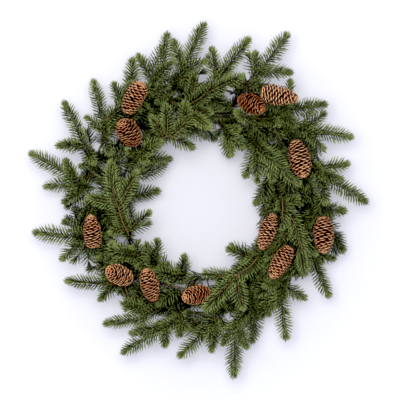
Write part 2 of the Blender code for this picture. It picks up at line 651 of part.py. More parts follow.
def lay_stems(crowd):
    """Every stem of every spray, with the main stems laid first. Returns lines by spray."""
    owners = {name: OWNER_SPRAYS + OWNERS_PER_SPRAY * k for k, name in enumerate(SPRAYS)}
    laid = {}
    for name, (hoop, angle, points, _) in SPRAYS.items():
        line = clear_line(name, main_stem(hoop, angle, points), crowd, (owners[name],), 0.0, True)
        laid[name] = [line]
        crowd.add(line[:-1], line[1:], STEM_RADIUS, STEM_RADIUS, owners[name])
    for name, (*_, shoots) in SPRAYS.items():
        own = range(owners[name], owners[name] + OWNERS_PER_SPRAY)
        for owner, (root_xy, tip) in zip(own[1:], shoots):
            line = side_shoot(laid[name][0], root_xy, tip)
            line = clear_line(f"{name} shoot", line, crowd, own, BARE_ROOT, False)
            laid[name].append(line)
            crowd.add(line[:-1], line[1:], STEM_RADIUS, STEM_RADIUS, owner)
    return laid


def stem_object(name, line, is_main, crowd, owner, materials, parent):
    """One stem with its needles: bare stretches between short whorls, whose six faces are needles."""
    total = lengths(line)[-1]
    bare = BARE_FOOT if is_main else BARE_ROOT
    stations = [0.0, HOOK_STEP, 2 * HOOK_STEP, 4.5 * HOOK_STEP] if is_main else [0.0]
    radii = [STEM_RADIUS if is_main else STEM_RADIUS * SHOOT_ROOT] + [STEM_RADIUS] * (len(stations) - 1)
    turns = [owner % OWNERS_PER_SPRAY + k * math.pi / STEM_SIDES for k in range(len(stations))]
    first_whorl = len(stations)
    whorls = max(1, round((total - WHORL_LENGTH - bare) / WHORL_PITCH) + 1)
    starts = np.linspace(total - WHORL_LENGTH, bare, whorls)[::-1]
    for start in starts:
        stations += [start, start + WHORL_LENGTH]
        radii += [STEM_RADIUS] * 2
        turns += [turns[-1] + WHORL_TURN, turns[-1] + WHORL_TURN + math.pi / STEM_SIDES]
    points = at(line, stations)
    mesh = bmesh.new()
    bands, cap = skin(mesh, ring_points(points, radii, turns, STEM_SIDES))
    for face in mesh.faces:
        face.material_index = 1
    tips = [(cap, points[-1] + unit(points[-1] - points[-2]) * NEEDLE_LENGTH * END_NEEDLE)]
    for k in range(first_whorl, len(stations), 2):
        centre = (points[k] + points[k + 1]) / 2
        axis = unit(points[k + 1] - points[k])
        leans = TIP_LEANS if k == len(stations) - 2 else LEANS
        for number, face in enumerate(bands[k]):
            tip = needle_tip(face, centre, axis, leans[number % 2], crowd, owner)
            if tip is not None:
                tips.append((face, tip))
    for face, tip in tips:
        raise_tip(mesh, face, tip)
    return new_object(name, mesh, (0, 0, 0), materials, parent)


def needle_tip(face, centre, axis, lean, crowd, owner):
    """Where a needle from this face ends, bent forward until it is clear, or None if it never is."""
    middle = np.array(face.calc_center_median())
    out = middle - centre
    out = unit(out - axis * (out @ axis))
    for bend in BENDS:
        tip = middle + NEEDLE_LENGTH * (math.cos(lean * bend) * axis + math.sin(lean * bend) * out)
        tip[2] = max(tip[2], FLOOR)
        foot = middle + NEEDLE_FOOT * unit(tip - middle)
        if crowd.room(foot, tip, *NEEDLE_RADII, (owner,)) >= CLEARANCE:
            crowd.add(middle[None], tip[None], *NEEDLE_RADII, OWNER_NEEDLES)
            return tip
    return None


def build_spray(name, lines, crowd, owner, materials, parent):
    """A spray: its main stem with its side shoots fused into it."""
    pieces = [stem_object(name, line, order == 0, crowd, owner + order, materials, parent)
              for order, line in enumerate(lines)]
    fuse(pieces[0], pieces[1:])


def centre_on_origin(parent):
    """Moves the whole wreath so that the origin is under the middle of its box."""
    bpy.context.view_layer.update()
    corners = []
    for thing in bpy.data.objects:
        if thing.type == "MESH":
            places = np.empty(len(thing.data.vertices) * 3)
            thing.data.vertices.foreach_get("co", places)
            matrix = np.array(thing.matrix_world)
            corners.append(places.reshape(-1, 3) @ matrix[:3, :3].T + matrix[:3, 3])
    corners = np.vstack(corners)
    low, high = corners.min(0), corners.max(0)
    parent.location = (-(low[0] + high[0]) / 2, -(low[1] + high[1]) / 2, -low[2])


def main():
    clear_scene()
    wreath = bpy.data.objects.new("wreath", None)
    bpy.context.scene.collection.objects.link(wreath)
    green = material("needle_green", GREEN, 0.55)
    twig = material("twig_brown", TWIG_BROWN, 0.75)
    brown = material("cone_brown", CONE_BROWN, 0.7)
    bristle = material("bristle_brown", BRISTLE_BROWN, 0.85)
    wire = material("painted_wire", WIRE_GREY, 0.45, 0.6)
    crowd = Crowd()
    build_frame(crowd, wire, wreath)
    winding = winding_line()
    crowd.add(winding, np.roll(winding, -1, axis=0), WINDING_CORE, WINDING_CORE, OWNER_WINDING)
    for number, (name, row) in enumerate(CONES.items()):
        build_cone(name, row, crowd, OWNER_CONES + number, brown, wreath)
        build_cone_wire(name, row, crowd, OWNER_CONE_WIRES + number, wire, wreath)
    stems = lay_stems(crowd)
    build_winding(winding, crowd, bristle, wreath)
    for number, (name, lines) in enumerate(stems.items()):
        owner = OWNER_SPRAYS + OWNERS_PER_SPRAY * number
        build_spray(name, lines, crowd, owner, [green, twig], wreath)
    centre_on_origin(wreath)


main()
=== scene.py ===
# %% [markdown]
# # A 60 cm pine wreath with cones
#
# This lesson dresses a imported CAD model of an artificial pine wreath. The CAD holds the wire hoops,
# every stem and every cone at its real place, but with few and thick needles. Here each spray gets
# its real needles, each cone its scales and the bristle wire its fuzz. Almost every shape below is
# a small form repeated by a rule, so numpy arrays do the work and Blender only receives the result.

# %% Load the frame
import math

import bpy
import numpy as np
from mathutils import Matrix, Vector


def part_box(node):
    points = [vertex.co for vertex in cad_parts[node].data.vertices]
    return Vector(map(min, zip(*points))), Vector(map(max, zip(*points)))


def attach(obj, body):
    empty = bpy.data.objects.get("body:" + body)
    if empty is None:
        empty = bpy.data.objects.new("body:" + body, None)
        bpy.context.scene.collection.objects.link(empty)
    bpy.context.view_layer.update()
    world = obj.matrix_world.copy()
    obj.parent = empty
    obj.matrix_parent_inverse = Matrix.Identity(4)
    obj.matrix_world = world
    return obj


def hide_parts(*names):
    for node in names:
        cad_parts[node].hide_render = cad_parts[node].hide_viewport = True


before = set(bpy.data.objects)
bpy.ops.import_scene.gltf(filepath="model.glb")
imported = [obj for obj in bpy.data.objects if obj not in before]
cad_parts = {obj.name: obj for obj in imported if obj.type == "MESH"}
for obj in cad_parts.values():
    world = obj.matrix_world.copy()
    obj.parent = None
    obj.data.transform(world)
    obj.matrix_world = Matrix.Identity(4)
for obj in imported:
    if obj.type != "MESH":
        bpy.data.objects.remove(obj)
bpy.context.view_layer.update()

# %% [markdown]
# ## Units and the middle of the pattern
#
# A wreath maker measures in millimetres from the middle of the hoops, and so does this script. The
# CAD model stands with its origin under the middle of its box instead. The welded wire frame is a
# round thing, so the middle of its box is the middle of the hoops, and every mesh is moved there
# in the one function that makes meshes.

# %% Millimetres from the middle of the hoops
MM = 0.001
GOLDEN = math.radians(137.508)
frame_low, frame_high = (np.array(corner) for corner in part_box("wire_frame"))
MIDDLE = np.array([*(frame_low + frame_high)[:2] / 2, 0.0])


def unit(vectors):
    """Each vector divided by its own length."""
    return vectors / np.maximum(np.linalg.norm(vectors, axis=-1, keepdims=True), 1e-9)


print("Middle of the hoops in mm:", np.round(MIDDLE / MM, 1))

# %% [markdown]
# ## From arrays to a mesh
#
# Every piece is a set of points and faces worked out as whole arrays. Blender takes them in one
# call each, which is thousands of times faster than adding vertices in a loop. Faces are rows of
# corner numbers. A row of three and a row of four can share one array when the triangle's last
# corner is -1. Colour that varies from needle to needle rides along as a colour attribute.

# %% One function that makes a piece
def join_shapes(shapes):
    """Points, faces, colours and slots of many shapes as one, with the corner numbers moved on."""
    starts = np.cumsum([0] + [len(shape["points"]) for shape in shapes[:-1]])
    joined = {key: np.concatenate([shape[key] for shape in shapes]) for key in ("points", "colours")}
    joined["faces"] = np.concatenate([np.where(shape["faces"] < 0, -1, shape["faces"] + start)
                                      for shape, start in zip(shapes, starts)])
    joined["slots"] = np.concatenate([np.full(len(shape["faces"]), shape.get("slot", 0))
                                      for shape in shapes])
    return joined


def make_piece(name, shapes, materials, node):
    """A finished piece from its shapes, in place of a CAD node, riding on the wreath's one body."""
    shape = join_shapes(shapes)
    corners = shape["faces"][shape["faces"] >= 0]
    counts = (shape["faces"] >= 0).sum(1)
    mesh = bpy.data.meshes.new(name)
    mesh.vertices.add(len(shape["points"]))
    mesh.vertices.foreach_set("co", (shape["points"] * MM + MIDDLE).astype(np.float32).ravel())
    mesh.loops.add(len(corners))
    mesh.loops.foreach_set("vertex_index", corners.astype(np.int32))
    mesh.polygons.add(len(counts))
    mesh.polygons.foreach_set("loop_start", np.concatenate([[0], np.cumsum(counts)[:-1]]).astype(np.int32))
    mesh.polygons.foreach_set("material_index", shape["slots"].astype(np.int32))
    mesh.update(calc_edges=True)
    mesh.shade_smooth()
    tint = mesh.attributes.new("tint", "FLOAT_COLOR", "POINT")
    colours = np.column_stack([shape["colours"], np.ones(len(shape["colours"]))])
    tint.data.foreach_set("color", colours.astype(np.float32).ravel())
    for material in materials:
        mesh.materials.append(material)
    piece = bpy.data.objects.new(name, mesh)
    bpy.context.scene.collection.objects.link(piece)
    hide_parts(node)
    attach(piece, "root")
    return int((counts - 2).sum())


# %% [markdown]
# ## A tube along a path
#
# Twigs, wires and hoops are all tubes. A tube is a ring of corners carried along a path. To keep
# the ring from spinning it needs a steady sideways direction. For a path that is nearly flat, the
# direction square to its own plane does that, and it comes from the path's singular vectors.

# %% Tubes
def tube(path, radii, sides, colour, slot=0, closed=False, steady=None):
    """A closed tube: at each point of the path, radius * (cos a * side + sin a * up) for each a."""
    path = np.asarray(path, float)
    count = len(path)
    if closed:
        tangents = unit(np.roll(path, -1, axis=0) - np.roll(path, 1, axis=0))
    else:
        tangents = unit(np.gradient(path, axis=0))
    if steady is None:
        steady = np.linalg.svd(path - path.mean(0))[2][2]
    side = unit(np.cross(tangents, steady))
    up = np.cross(side, tangents)
    angles = np.arange(sides) * 2 * math.pi / sides
    rings = (side[:, None] * np.cos(angles)[:, None] + up[:, None] * np.sin(angles)[:, None])
    points = path[:, None] + rings * np.broadcast_to(radii, count)[:, None, None]
    ring, corner = np.meshgrid(np.arange(count if closed else count - 1), np.arange(sides), indexing="ij")
    here, there = ring * sides, (ring + 1) % count * sides
    following = (corner + 1) % sides
    faces = np.stack([here + corner, here + following, there + following, there + corner], axis=-1)
    points, faces = points.reshape(-1, 3), faces.reshape(-1, 4)
    if not closed:
        k = np.arange(sides)
        last = (count - 1) * sides
        blank = np.full(sides, -1)
        first_cap = np.column_stack([(k + 1) % sides, k, np.full(sides, count * sides), blank])
        last_cap = np.column_stack([last + k, last + (k + 1) % sides, np.full(sides, count * sides + 1),
                                    blank])
        points = np.vstack([points, path[:1], path[-1:]])
        faces = np.vstack([faces, first_cap, last_cap])
    return {"points": points, "faces": faces, "colours": np.tile(colour, (len(points), 1)), "slot": slot}


# %% [markdown]
# ## The wire frame and where things hook on
#
# The real frame is two hoops of enamelled steel wire joined by short welded ties, the inner hoop
# standing a little further from the wall. The CAD draws the wire with five sides. Here it is drawn
# round, on the same hoops. A foot beside a hoop is found by an angle round the hoop and an angle
# round the wire, which is how the hooks and the winding are placed too.

# %% Hoops
WIRE_RADIUS = 2.2
# Each hoop: its radius, and the height of its wire's middle. The outer one lies on a flat side.
HOOPS = {"outer": (196.0, WIRE_RADIUS * math.cos(math.pi / 5)), "inner": (138.0, 11.0)}
HOOP_CORNERS = {"outer": 40, "inner": 32}
# A hook keeps this gap to its hoop, and drifts this far along it from point to point.
FOOT_GAP = 0.5
HOOK_DRIFT = 2.2
TIE_RADIUS = 1.7
TIE_ANGLES = (35.0, 92.0, 147.0, 182.5, 216.0, 250.0, 293.5, 337.0)
TIE_END_GAP = 8.0


def on_hoop(hoop, angle, around, distance):
    """A point beside a hoop: around is 0 on its outer side, 90 on top and 180 on its inner side."""
    radius, height = HOOPS[hoop]
    turn, lean = np.radians(angle), np.radians(around)
    out, up = radius + distance * np.cos(lean), height + distance * np.sin(lean)
    return np.stack(np.broadcast_arrays(out * np.cos(turn), out * np.sin(turn), up), axis=-1)


def hook(hoop, angle, distance, inward):
    """The foot that grips a hoop: up one side of it and over its top, drifting clockwise."""
    start = {"outer": 18.0, "inner": -12.0}[hoop]
    around = np.array([start, (start + 90) / 2, 90])
    drift = math.degrees(HOOK_DRIFT / HOOPS[hoop][0])
    return on_hoop(hoop, angle - drift * np.arange(3), around if inward else 180 - around, distance)


def hoop_path(hoop, corners):
    """Points evenly spaced round a hoop, in the middle of its wire."""
    return on_hoop(hoop, np.arange(corners) * 360 / corners, 0, 0)


print("Hoops of", [2 * radius for radius, _ in HOOPS.values()], "mm and", len(TIE_ANGLES), "ties")

# %% [markdown]
# ## The sprays and the cones, listed
#
# Each spray is written down as a maker would lay it: the hoop and the angle it hooks on at, the
# points its main stem runs through, and where its side shoots leave and end. They are the same
# numbers that the CAD model was built from, so the needles below stand on the CAD's own stems.

# %% Tables of the sprays and the cones
SPRAYS = {
    "spray_top_left": ("outer", 120, [(-84, 196, 24), (-80, 206, 32), (-66, 228, 38), (-56, 291, 32)],
                       [((-82, 203), (-109, 252, 46)), ((-78, 208), (-43, 240, 56))]),
    "spray_top": ("outer", 106, [(-42, 206, 28), (-32, 220, 38), (8, 306, 34)],
                  [((-33, 219), (-48, 277, 56)), ((-30, 222), (12, 238, 62)),
                   ((-50, 196), (-76, 166, 40))]),
    "spray_top_middle": ("inner", 105, [(-26, 158, 34), (3, 178, 50), (25, 204, 54), (86, 280, 40)],
                         [((23, 202), (20, 262, 70)), ((4, 179), (78, 214, 70)),
                          ((-20, 161), (-10, 224, 44)), ((-30, 148), (22, 150, 62))]),
    "spray_top_right": ("outer", 74, [(78, 203, 26), (99, 217, 40), (152, 288, 40)],
                        [((98, 216), (94, 256, 60)), ((99, 216), (160, 219, 52)),
                         ((82, 206), (52, 200, 52))]),
    "spray_right_shoulder": ("inner", 58, [(92, 134, 26), (120, 149, 32), (160, 156, 34), (220, 166, 38)],
                             [((104, 141), (136, 128, 66)), ((128, 150), (168, 127, 56)),
                              ((92, 133), (60, 150, 76)), ((140, 153), (156, 210, 30))]),
    "spray_right_upper": ("outer", 45, [(158, 135, 28), (175, 126, 42), (265, 108, 36)],
                          [((174, 126), (216, 151, 58)), ((176, 125), (216, 86, 60))]),
    "spray_right": ("outer", 24, [(186, 68, 24), (195, 56, 34), (212, 42, 40), (289, -5, 36)],
                    [((193, 58), (258, 64, 28)), ((205, 47), (247, 36, 58)),
                     ((200, 51), (216, -10, 58)), ((186, 70), (184, 10, 26))]),
    "spray_right_lower": ("outer", 5, [(202, -2, 20), (210, -24, 22), (228, -50, 20), (249, -91, 26)],
                          [((205, -10), (253, -18, 40)), ((203, -5), (182, -45, 30))]),
    "spray_right_front": ("inner", 12, [(139, 14, 28), (147, -14, 44), (161, -38, 60), (170, -76, 64),
                                        (181, -130, 46)],
                          [((160, -36), (110, -104, 42)), ((163, -44), (202, -96, 48)),
                           ((142, 2), (139, -50, 68)), ((144, -8), (172, 8, 50))]),
    "spray_low_right": ("outer", 342, [(192, -78, 22), (199, -108, 30), (210, -140, 34), (225, -169, 30)],
                        [((196, -88), (236, -102, 22)), ((194, -84), (171, -137, 20))]),
    "spray_low_right_long": ("outer", 322, [(146, -134, 26), (140, -152, 36), (142, -192, 40),
                                            (149, -243, 34)],
                             [((143, -141), (184, -170, 36)), ((141, -148), (116, -201, 22)),
                              ((148, -131), (108, -150, 50))]),
    "spray_bottom_front": ("inner", 325, [(104, -92, 34), (88, -112, 56), (63, -130, 68), (36, -158, 68),
                                          (5, -192, 56)],
                           [((65, -129), (1, -125, 64)), ((66, -129), (75, -189, 74)),
                            ((99, -100), (46, -82, 46)), ((104, -93), (126, -128, 24))]),
    "spray_bottom_long": ("outer", 298, [(80, -188, 24), (62, -214, 40), (60, -250, 42), (58, -307, 34)],
                          [((65, -209), (82, -256, 54)), ((63, -212), (37, -250, 58))]),
    "spray_bottom_dark": ("inner", 310, [(93, -126, 16), (97, -160, 18), (95, -202, 20), (89, -248, 22)],
                          [((96, -150), (108, -196, 14)), ((93, -126), (72, -160, 16))]),
    "spray_bottom": ("outer", 284, [(36, -198, 26), (24, -206, 36), (6, -228, 40), (-38, -272, 36)],
                     [((30, -202), (20, -262, 52)), ((34, -199), (42, -226, 26))]),
    "spray_bottom_left": ("outer", 265, [(-32, -204, 28), (-56, -217, 42), (-88, -235, 42),
                                         (-136, -265, 34)],
                          [((-54, -216), (-60, -253, 58)), ((-57, -218), (-121, -229, 62)),
                           ((-34, -205), (-18, -225, 50)), ((-30, -203), (-36, -238, 22))]),
    "spray_low_left_long": ("outer", 256, [(-70, -190, 24), (-92, -199, 36), (-116, -206, 40),
                                           (-168, -214, 36)],
                            [((-84, -196), (-136, -173, 54)), ((-92, -199), (-104, -232, 24))]),
    "spray_low_left": ("outer", 228, [(-144, -146, 26), (-160, -145, 36), (-233, -139, 32)],
                       [((-146, -146), (-174, -175, 48)), ((-142, -145), (-134, -168, 34))]),
    "spray_left_long": ("outer", 200, [(-194, -68, 24), (-210, -65, 38), (-288, -56, 34)],
                        [((-200, -67), (-239, -104, 52)), ((-192, -69), (-192, -119, 24)),
                         ((-194, -68), (-172, -100, 30)), ((-192, -68), (-238, -34, 24))]),
    "spray_left_upper_long": ("outer", 177, [(-205, 22, 26), (-216, 34, 40), (-240, 52, 42),
                                             (-295, 82, 34)],
                              [((-209, 26), (-271, 22, 26)), ((-214, 32), (-232, 71, 60)),
                               ((-205, 22), (-180, 22, 50)), ((-202, 18), (-238, -6, 34))]),
    "spray_left_shoulder": ("outer", 160, [(-190, 78, 26), (-200, 92, 40), (-214, 126, 42),
                                           (-236, 171, 36)],
                            [((-198, 90), (-249, 93, 56)), ((-188, 76), (-208, 54, 34)),
                             ((-194, 84), (-180, 60, 52))]),
    "spray_left_top": ("outer", 152, [(-171, 106, 26), (-165, 118, 42), (-170, 150, 44), (-185, 209, 34)],
                       [((-166, 116), (-198, 144, 60)), ((-167, 114), (-148, 152, 30)),
                        ((-170, 110), (-154, 76, 52))]),
    "spray_top_left_tall": ("outer", 136, [(-137, 152, 18), (-130, 172, 24), (-120, 194, 32),
                                           (-116, 246, 36)],
                            [((-134, 160), (-150, 202, 46)), ((-122, 190), (-82, 180, 22))]),
    "spray_inner_top_left": ("inner", 128, [(-72, 108, 34), (-57, 109, 54), (-36, 124, 62), (-14, 141, 66),
                                            (20, 122, 84)],
                             [((-56, 109), (-9, 88, 52)), ((-58, 109), (-60, 166, 80)),
                              ((-44, 118), (-16, 112, 44)), ((-64, 108), (-86, 146, 62)),
                              ((-28, 131), (-26, 170, 72))]),
    "spray_inner_left_upper": ("inner", 155, [(-114, 68, 32), (-101, 82, 50), (-84, 92, 58), (-61, 102, 58)],
                               [((-112, 70), (-49, 70, 26)), ((-112, 72), (-128, 90, 54)),
                                ((-106, 78), (-90, 60, 60))]),
    "spray_inner_left": ("inner", 209, [(-124, -58, 34), (-134, -36, 50), (-140, -14, 60), (-150, 18, 66),
                                        (-153, 70, 52)],
                         [((-125, -56), (-83, -19, 54)), ((-140, -15), (-104, 52, 64)),
                          ((-140, -12), (-197, 5, 56)), ((-127, -52), (-158, -58, 56))]),
    "spray_inner_left_low": ("inner", 184, [(-128, 0, 20), (-112, 8, 22), (-70, 16, 22)],
                             [((-130, -1), (-140, 38, 34)), ((-126, 1), (-108, 32, 26))]),
    "spray_inner_low_left": ("inner", 223, [(-112, -94, 34), (-126, -92, 52), (-144, -88, 60),
                                            (-153, -70, 58)],
                             [((-116, -93), (-153, -110, 44)), ((-112, -94), (-104, -70, 32))]),
    "spray_inner_bottom_left": ("inner", 240, [(-76, -116, 30), (-80, -106, 44), (-76, -88, 52),
                                               (-72, -66, 50)],
                                [((-78, -112), (-95, -72, 40)), ((-75, -117), (-112, -112, 38))]),
    "spray_inner_bottom": ("inner", 261, [(-30, -134, 28), (-46, -133, 40), (-84, -122, 40)],
                           [((-28, -134), (-26, -93, 42)), ((-34, -134), (-60, -108, 30)),
                            ((-32, -134), (-58, -150, 50))]),
    "spray_low_middle": ("inner", 268, [(-20, -152, 22), (-44, -150, 26), (-68, -146, 24),
                                        (-120, -158, 22)],
                         [((-32, -152), (-76, -184, 34)), ((-22, -152), (4, -182, 22))]),
    "spray_inner_right_upper": ("inner", 48, [(96, 98, 36), (104, 88, 56), (134, 62, 64), (173, 25, 54)],
                                [((98, 95), (98, 29, 56)), ((96, 98), (77, 38, 40)),
                                 ((104, 88), (140, 78, 48)), ((118, 76), (124, 30, 54))]),
    "spray_inner_top_right": ("inner", 78, [(38, 124, 32), (48, 112, 48), (54, 74, 50)],
                              [((40, 120), (76, 87, 54)), ((36, 126), (22, 104, 18)),
                               ((38, 124), (72, 122, 44))]),
    "spray_inner_right": ("inner", 21, [(121, 40, 28), (114, 22, 38), (94, -10, 36)],
                          [((122, 42), (108, -28, 18)), ((124, 44), (154, 20, 24))]),
}

# Each cone: base (x, y), tip (x, y), height of its middle, rise of its tip, width, hoop and angle.
CONES = {
    "top_left": ((-124, 152), (-101, 197), 75, 8, 39, "outer", 128),
    "left_top": ((-110, 98), (-135, 135), 42, 30, 39, "inner", 140),
    "left": ((-182, -82), (-188, -25), 56, 14, 36, "outer", 205),
    "low_left": ((-118, -139), (-160, -118), 56, 40, 38, "outer", 233),
    "low": ((-79, -173), (-94, -118), 56, 20, 37, "outer", 245),
    "bottom": ((16, -158), (-30, -168), 52, 38, 33, "inner", 277),
    "low_right": ((155, -80), (122, -134), 64, 8, 37, "outer", 331),
    "right_inner": ((127, -25), (105, -84), 60, 6, 33, "inner", 349),
    "right": ((212, -28), (213, -92), 54, 8, 39, "outer", 352),
    "right_upper": ((163, 103), (179, 39), 56, 10, 38, "outer", 30),
    "top_right": ((105, 185), (167, 173), 76, 0, 38, "outer", 57),
    "top_right_inner": ((67, 176), (111, 154), 46, 26, 37, "outer", 68),
}
print(len(SPRAYS), "sprays with", sum(len(row[3]) for row in SPRAYS.values()), "side shoots,",
      len(CONES), "cones")

# %% [markdown]
# ## Smooth paths
#
# A twig bends softly through the places where it was pushed. A Catmull-Rom curve goes through
# every given point, and the centripetal kind makes no loops when two points lie close together.

# %% Curves through points
def smooth(points, pieces=12):
    """A centripetal Catmull-Rom curve through the points, as a dense path."""
    points = np.array(points, float)
    padded = np.vstack([2 * points[0] - points[1], points, 2 * points[-1] - points[-2]])
    share = np.linspace(0, 1, pieces, endpoint=False)[:, None]
    spans = []
    for p0, p1, p2, p3 in zip(padded, padded[1:], padded[2:], padded[3:]):
        chords = [max(np.linalg.norm(b - a), 1e-6) ** 0.5 for a, b in ((p0, p1), (p1, p2), (p2, p3))]
        m1 = (p1 - p0) / chords[0] - (p2 - p0) / (chords[0] + chords[1]) + (p2 - p1) / chords[1]
        m2 = (p2 - p1) / chords[1] - (p3 - p1) / (chords[1] + chords[2]) + (p3 - p2) / chords[2]
        m1, m2 = m1 * chords[1], m2 * chords[1]
        spans.append((2 * share**3 - 3 * share**2 + 1) * p1 + (share**3 - 2 * share**2 + share) * m1
                     + (3 * share**2 - 2 * share**3) * p2 + (share**3 - share**2) * m2)
    return np.vstack([*spans, points[-1:]])


def run_of(path):
    """How far along the path each of its points lies."""
    return np.concatenate([[0], np.cumsum(np.linalg.norm(np.diff(path, axis=0), axis=1))])


def at(path, distances):
    """The points at these distances along a path."""
    run = run_of(path)
    return np.column_stack([np.interp(distances, run, path[:, axis]) for axis in range(3)])


# %% [markdown]
# ## Keeping clear of each other
#
# A stem that would run into a cone is bent over or under it, as hands would do. Everything placed
# so far is kept as rods with a radius, and the distance from a new rod to all of them is worked
# out at once. The stem takes the smallest hump that clears them all. The CAD model found its stems
# by the same rule in the same order, so both agree.

# %% A crowd of rods
NEAR = 45.0
CLEARANCE = 0.45
FLOOR = 0.8


def closest(start, end, starts, ends):
    """Distances from one segment to each of many, and how far along each the nearest points lie."""
    along, others, between = end - start, ends - starts, start - starts
    a = along @ along
    e = np.maximum((others * others).sum(1), 1e-9)
    b, c, f = others @ along, between @ along, (others * between).sum(1)
    spread = a * e - b * b
    s = np.where(spread > 1e-9, np.clip((b * f - c * e) / np.maximum(spread, 1e-9), 0, 1), 0)
    t = (b * s + f) / e
    s = np.where(t < 0, np.clip(-c / a, 0, 1), np.where(t > 1, np.clip((b - c) / a, 0, 1), s))
    t = np.clip(t, 0, 1)
    apart = between + s[:, None] * along - t[:, None] * others
    return np.sqrt((apart * apart).sum(1)), t


class Crowd:
    """Every rod placed so far: start, end, a radius at each end, and an owner's number."""

    def __init__(self):
        self.rows = np.empty((0, 9))

    def add(self, path, radii, owner):
        """Enters a path as rods. A closed path is given with its first point again at its end."""
        radii = np.broadcast_to(radii, len(path))
        rows = np.column_stack([path[:-1], path[1:], radii[:-1], radii[1:],
                                np.full(len(path) - 1, owner)])
        self.rows = np.vstack([self.rows, rows])

    def room(self, start, end, radius, skip):
        """The smallest gap from this rod to the crowd, leaving out the owners in skip."""
        rows = self.rows[~np.isin(self.rows[:, 8], skip)]
        reach = np.linalg.norm(end - start) / 2 + NEAR
        rows = rows[np.abs(rows[:, :3] - (start + end) / 2).max(1) < reach]
        if not len(rows):
            return NEAR
        distance, t = closest(start, end, rows[:, :3], rows[:, 3:6])
        return float((distance - radius - rows[:, 6] - (rows[:, 7] - rows[:, 6]) * t).min())


# %% [markdown]
# ## The bristle wire's path
#
# The bristle wire, which makers call chenille, is wound round the inner hoop to give the sprays
# grip. It turns round the hoop between two feet and lies under the hoop at each foot, so that a
# hook can sit on the bare wire there.

# %% Path of the winding
WINDING_RADIUS = 5.2
WINDING_CORE = 1.3
WINDING_STEP = 7.4
# One turn for about this many degrees between two feet, and none between feet closer than these.
DEGREES_A_TURN, CLOSE_FEET = 30, 15


def winding_path():
    """Whole turns round the hoop between feet that aren't close, eased: 3 * share^2 - 2 * share^3."""
    feet = sorted([angle for hoop, angle, _, _ in SPRAYS.values() if hoop == "inner"]
                  + [angle for *_, hoop, angle in CONES.values() if hoop == "inner"])
    points, turned = [], -90.0
    for here, there in zip(feet, feet[1:] + [feet[0] + 360]):
        gap = there - here
        turns = max(1, round(gap / DEGREES_A_TURN)) if gap >= CLOSE_FEET else 0
        steps = max(2, round(math.radians(gap) * HOOPS["inner"][0] / WINDING_STEP))
        share = np.arange(steps) / steps
        around = turned + 360 * turns * share * share * (3 - 2 * share)
        points.append(on_hoop("inner", here + gap * share, around, WINDING_RADIUS))
        turned += 360 * turns
    points = np.vstack(points)
    return points[:len(points) - len(points) % 2]


winding = winding_path()
print("Bristle wire:", round(run_of(winding)[-1]), "mm long")

# %% [markdown]
# ## The cones and their wires
#
# A cone's outline is wide a little below its middle and closes at both ends. Its wire hooks over a
# hoop, bows outward and meets the middle of the base.

# %% Places of the cones and their wires
CONE_SHARES = np.linspace(0, 1, 9)
SCALE_LIFT = 3.4
CONE_WIRE_RADIUS = 0.9
# A cone's wire ends this far short of its base, points straight at it from WIRE_LEAD before that,
# and bows outward halfway. The hook's two short pieces are HOOK_STEP long.
CONE_GAP = 0.4
WIRE_LEAD, WIRE_BOW = 4, 10
HOOK_STEP = 3.1


def cone_radius(share, width):
    """Half the width of a cone's body, 1 - (|share - 0.42| / 0.63) ** 2.6 of the full and at least 0.12."""
    return (width / 2 - 0.8 * SCALE_LIFT) * np.maximum(1 - (np.abs(share - 0.42) / 0.63) ** 2.6, 0.12)


def cone_ends(row):
    """The middle of a cone's base and its tip, which stands higher or lower by the cone's rise."""
    base_xy, tip_xy, height, rise, *_ = row
    return np.array([*base_xy, height - rise / 2], float), np.array([*tip_xy, height + rise / 2], float)


def cone_wire_path(row):
    """A cone's wire: the hook, a point halfway that is bowed outward, and the last run to the base."""
    base, tip = cone_ends(row)
    axis = unit(tip - base)
    foot = hook(row[5], row[6], WIRE_RADIUS + CONE_WIRE_RADIUS + FOOT_GAP, False)
    end = base - axis * CONE_GAP
    bow = WIRE_BOW * unit(foot[-1] * (1, 1, 0))
    path = smooth([*foot, (foot[-1] + end) / 2 + bow - WIRE_LEAD * axis, end - WIRE_LEAD * axis], 6)
    stations = [0, HOOK_STEP, *np.linspace(2 * HOOK_STEP, run_of(path)[-1], 5)]
    return np.vstack([at(path, stations), end])


def add_cone(rods, row, owner):
    """Enters a cone in a crowd as a row of rods, as thick as its body and its scales."""
    base, tip = cone_ends(row)
    rods.add(base + (tip - base) * CONE_SHARES[:, None], cone_radius(CONE_SHARES, row[4]) + SCALE_LIFT,
             owner)


OWNER_HOOPS, OWNER_TIES, OWNER_WINDING, OWNER_CONES, OWNER_WIRES, OWNER_SPRAYS = 0, 1, 2, 10, 30, 100
crowd = Crowd()
for hoop, corners in HOOP_CORNERS.items():
    path = hoop_path(hoop, corners)
    crowd.add(np.vstack([path, path[:1]]), WIRE_RADIUS, OWNER_HOOPS)
for angle in TIE_ANGLES:
    crowd.add(np.stack([on_hoop("inner", angle, 0, TIE_END_GAP), on_hoop("outer", angle, 180, TIE_END_GAP)]),
              TIE_RADIUS, OWNER_TIES)
crowd.add(np.vstack([winding, winding[:1]]), WINDING_CORE, OWNER_WINDING)
for number, row in enumerate(CONES.values()):
    add_cone(crowd, row, OWNER_CONES + number)
    crowd.add(cone_wire_path(row), CONE_WIRE_RADIUS, OWNER_WIRES + number)
print("Rods before the sprays:", len(crowd.rows))

# %% [markdown]
# ## Laying the stems
#
# Main stems are laid first, because they are stiff and come first in the hand. A side shoot leaves
# its main stem along it and curves away to its own tip. The wood ends short of the tip by most of
# a needle, because the last needles reach on past the wood.

# %% Stems
STEM_RADIUS = 1.4
HOOK_RUN = 13.0
WOOD_SETBACK = 12.8
LIFTS = (0, 5, -5, 10, -10, 15, -15, 20, -20, 26, 32, -26, 38, 45)
# Stems are tested in rods about this long, and a shoot only from past its fork on.
ROD_LENGTH = 5
FORK_RUN = 6.5
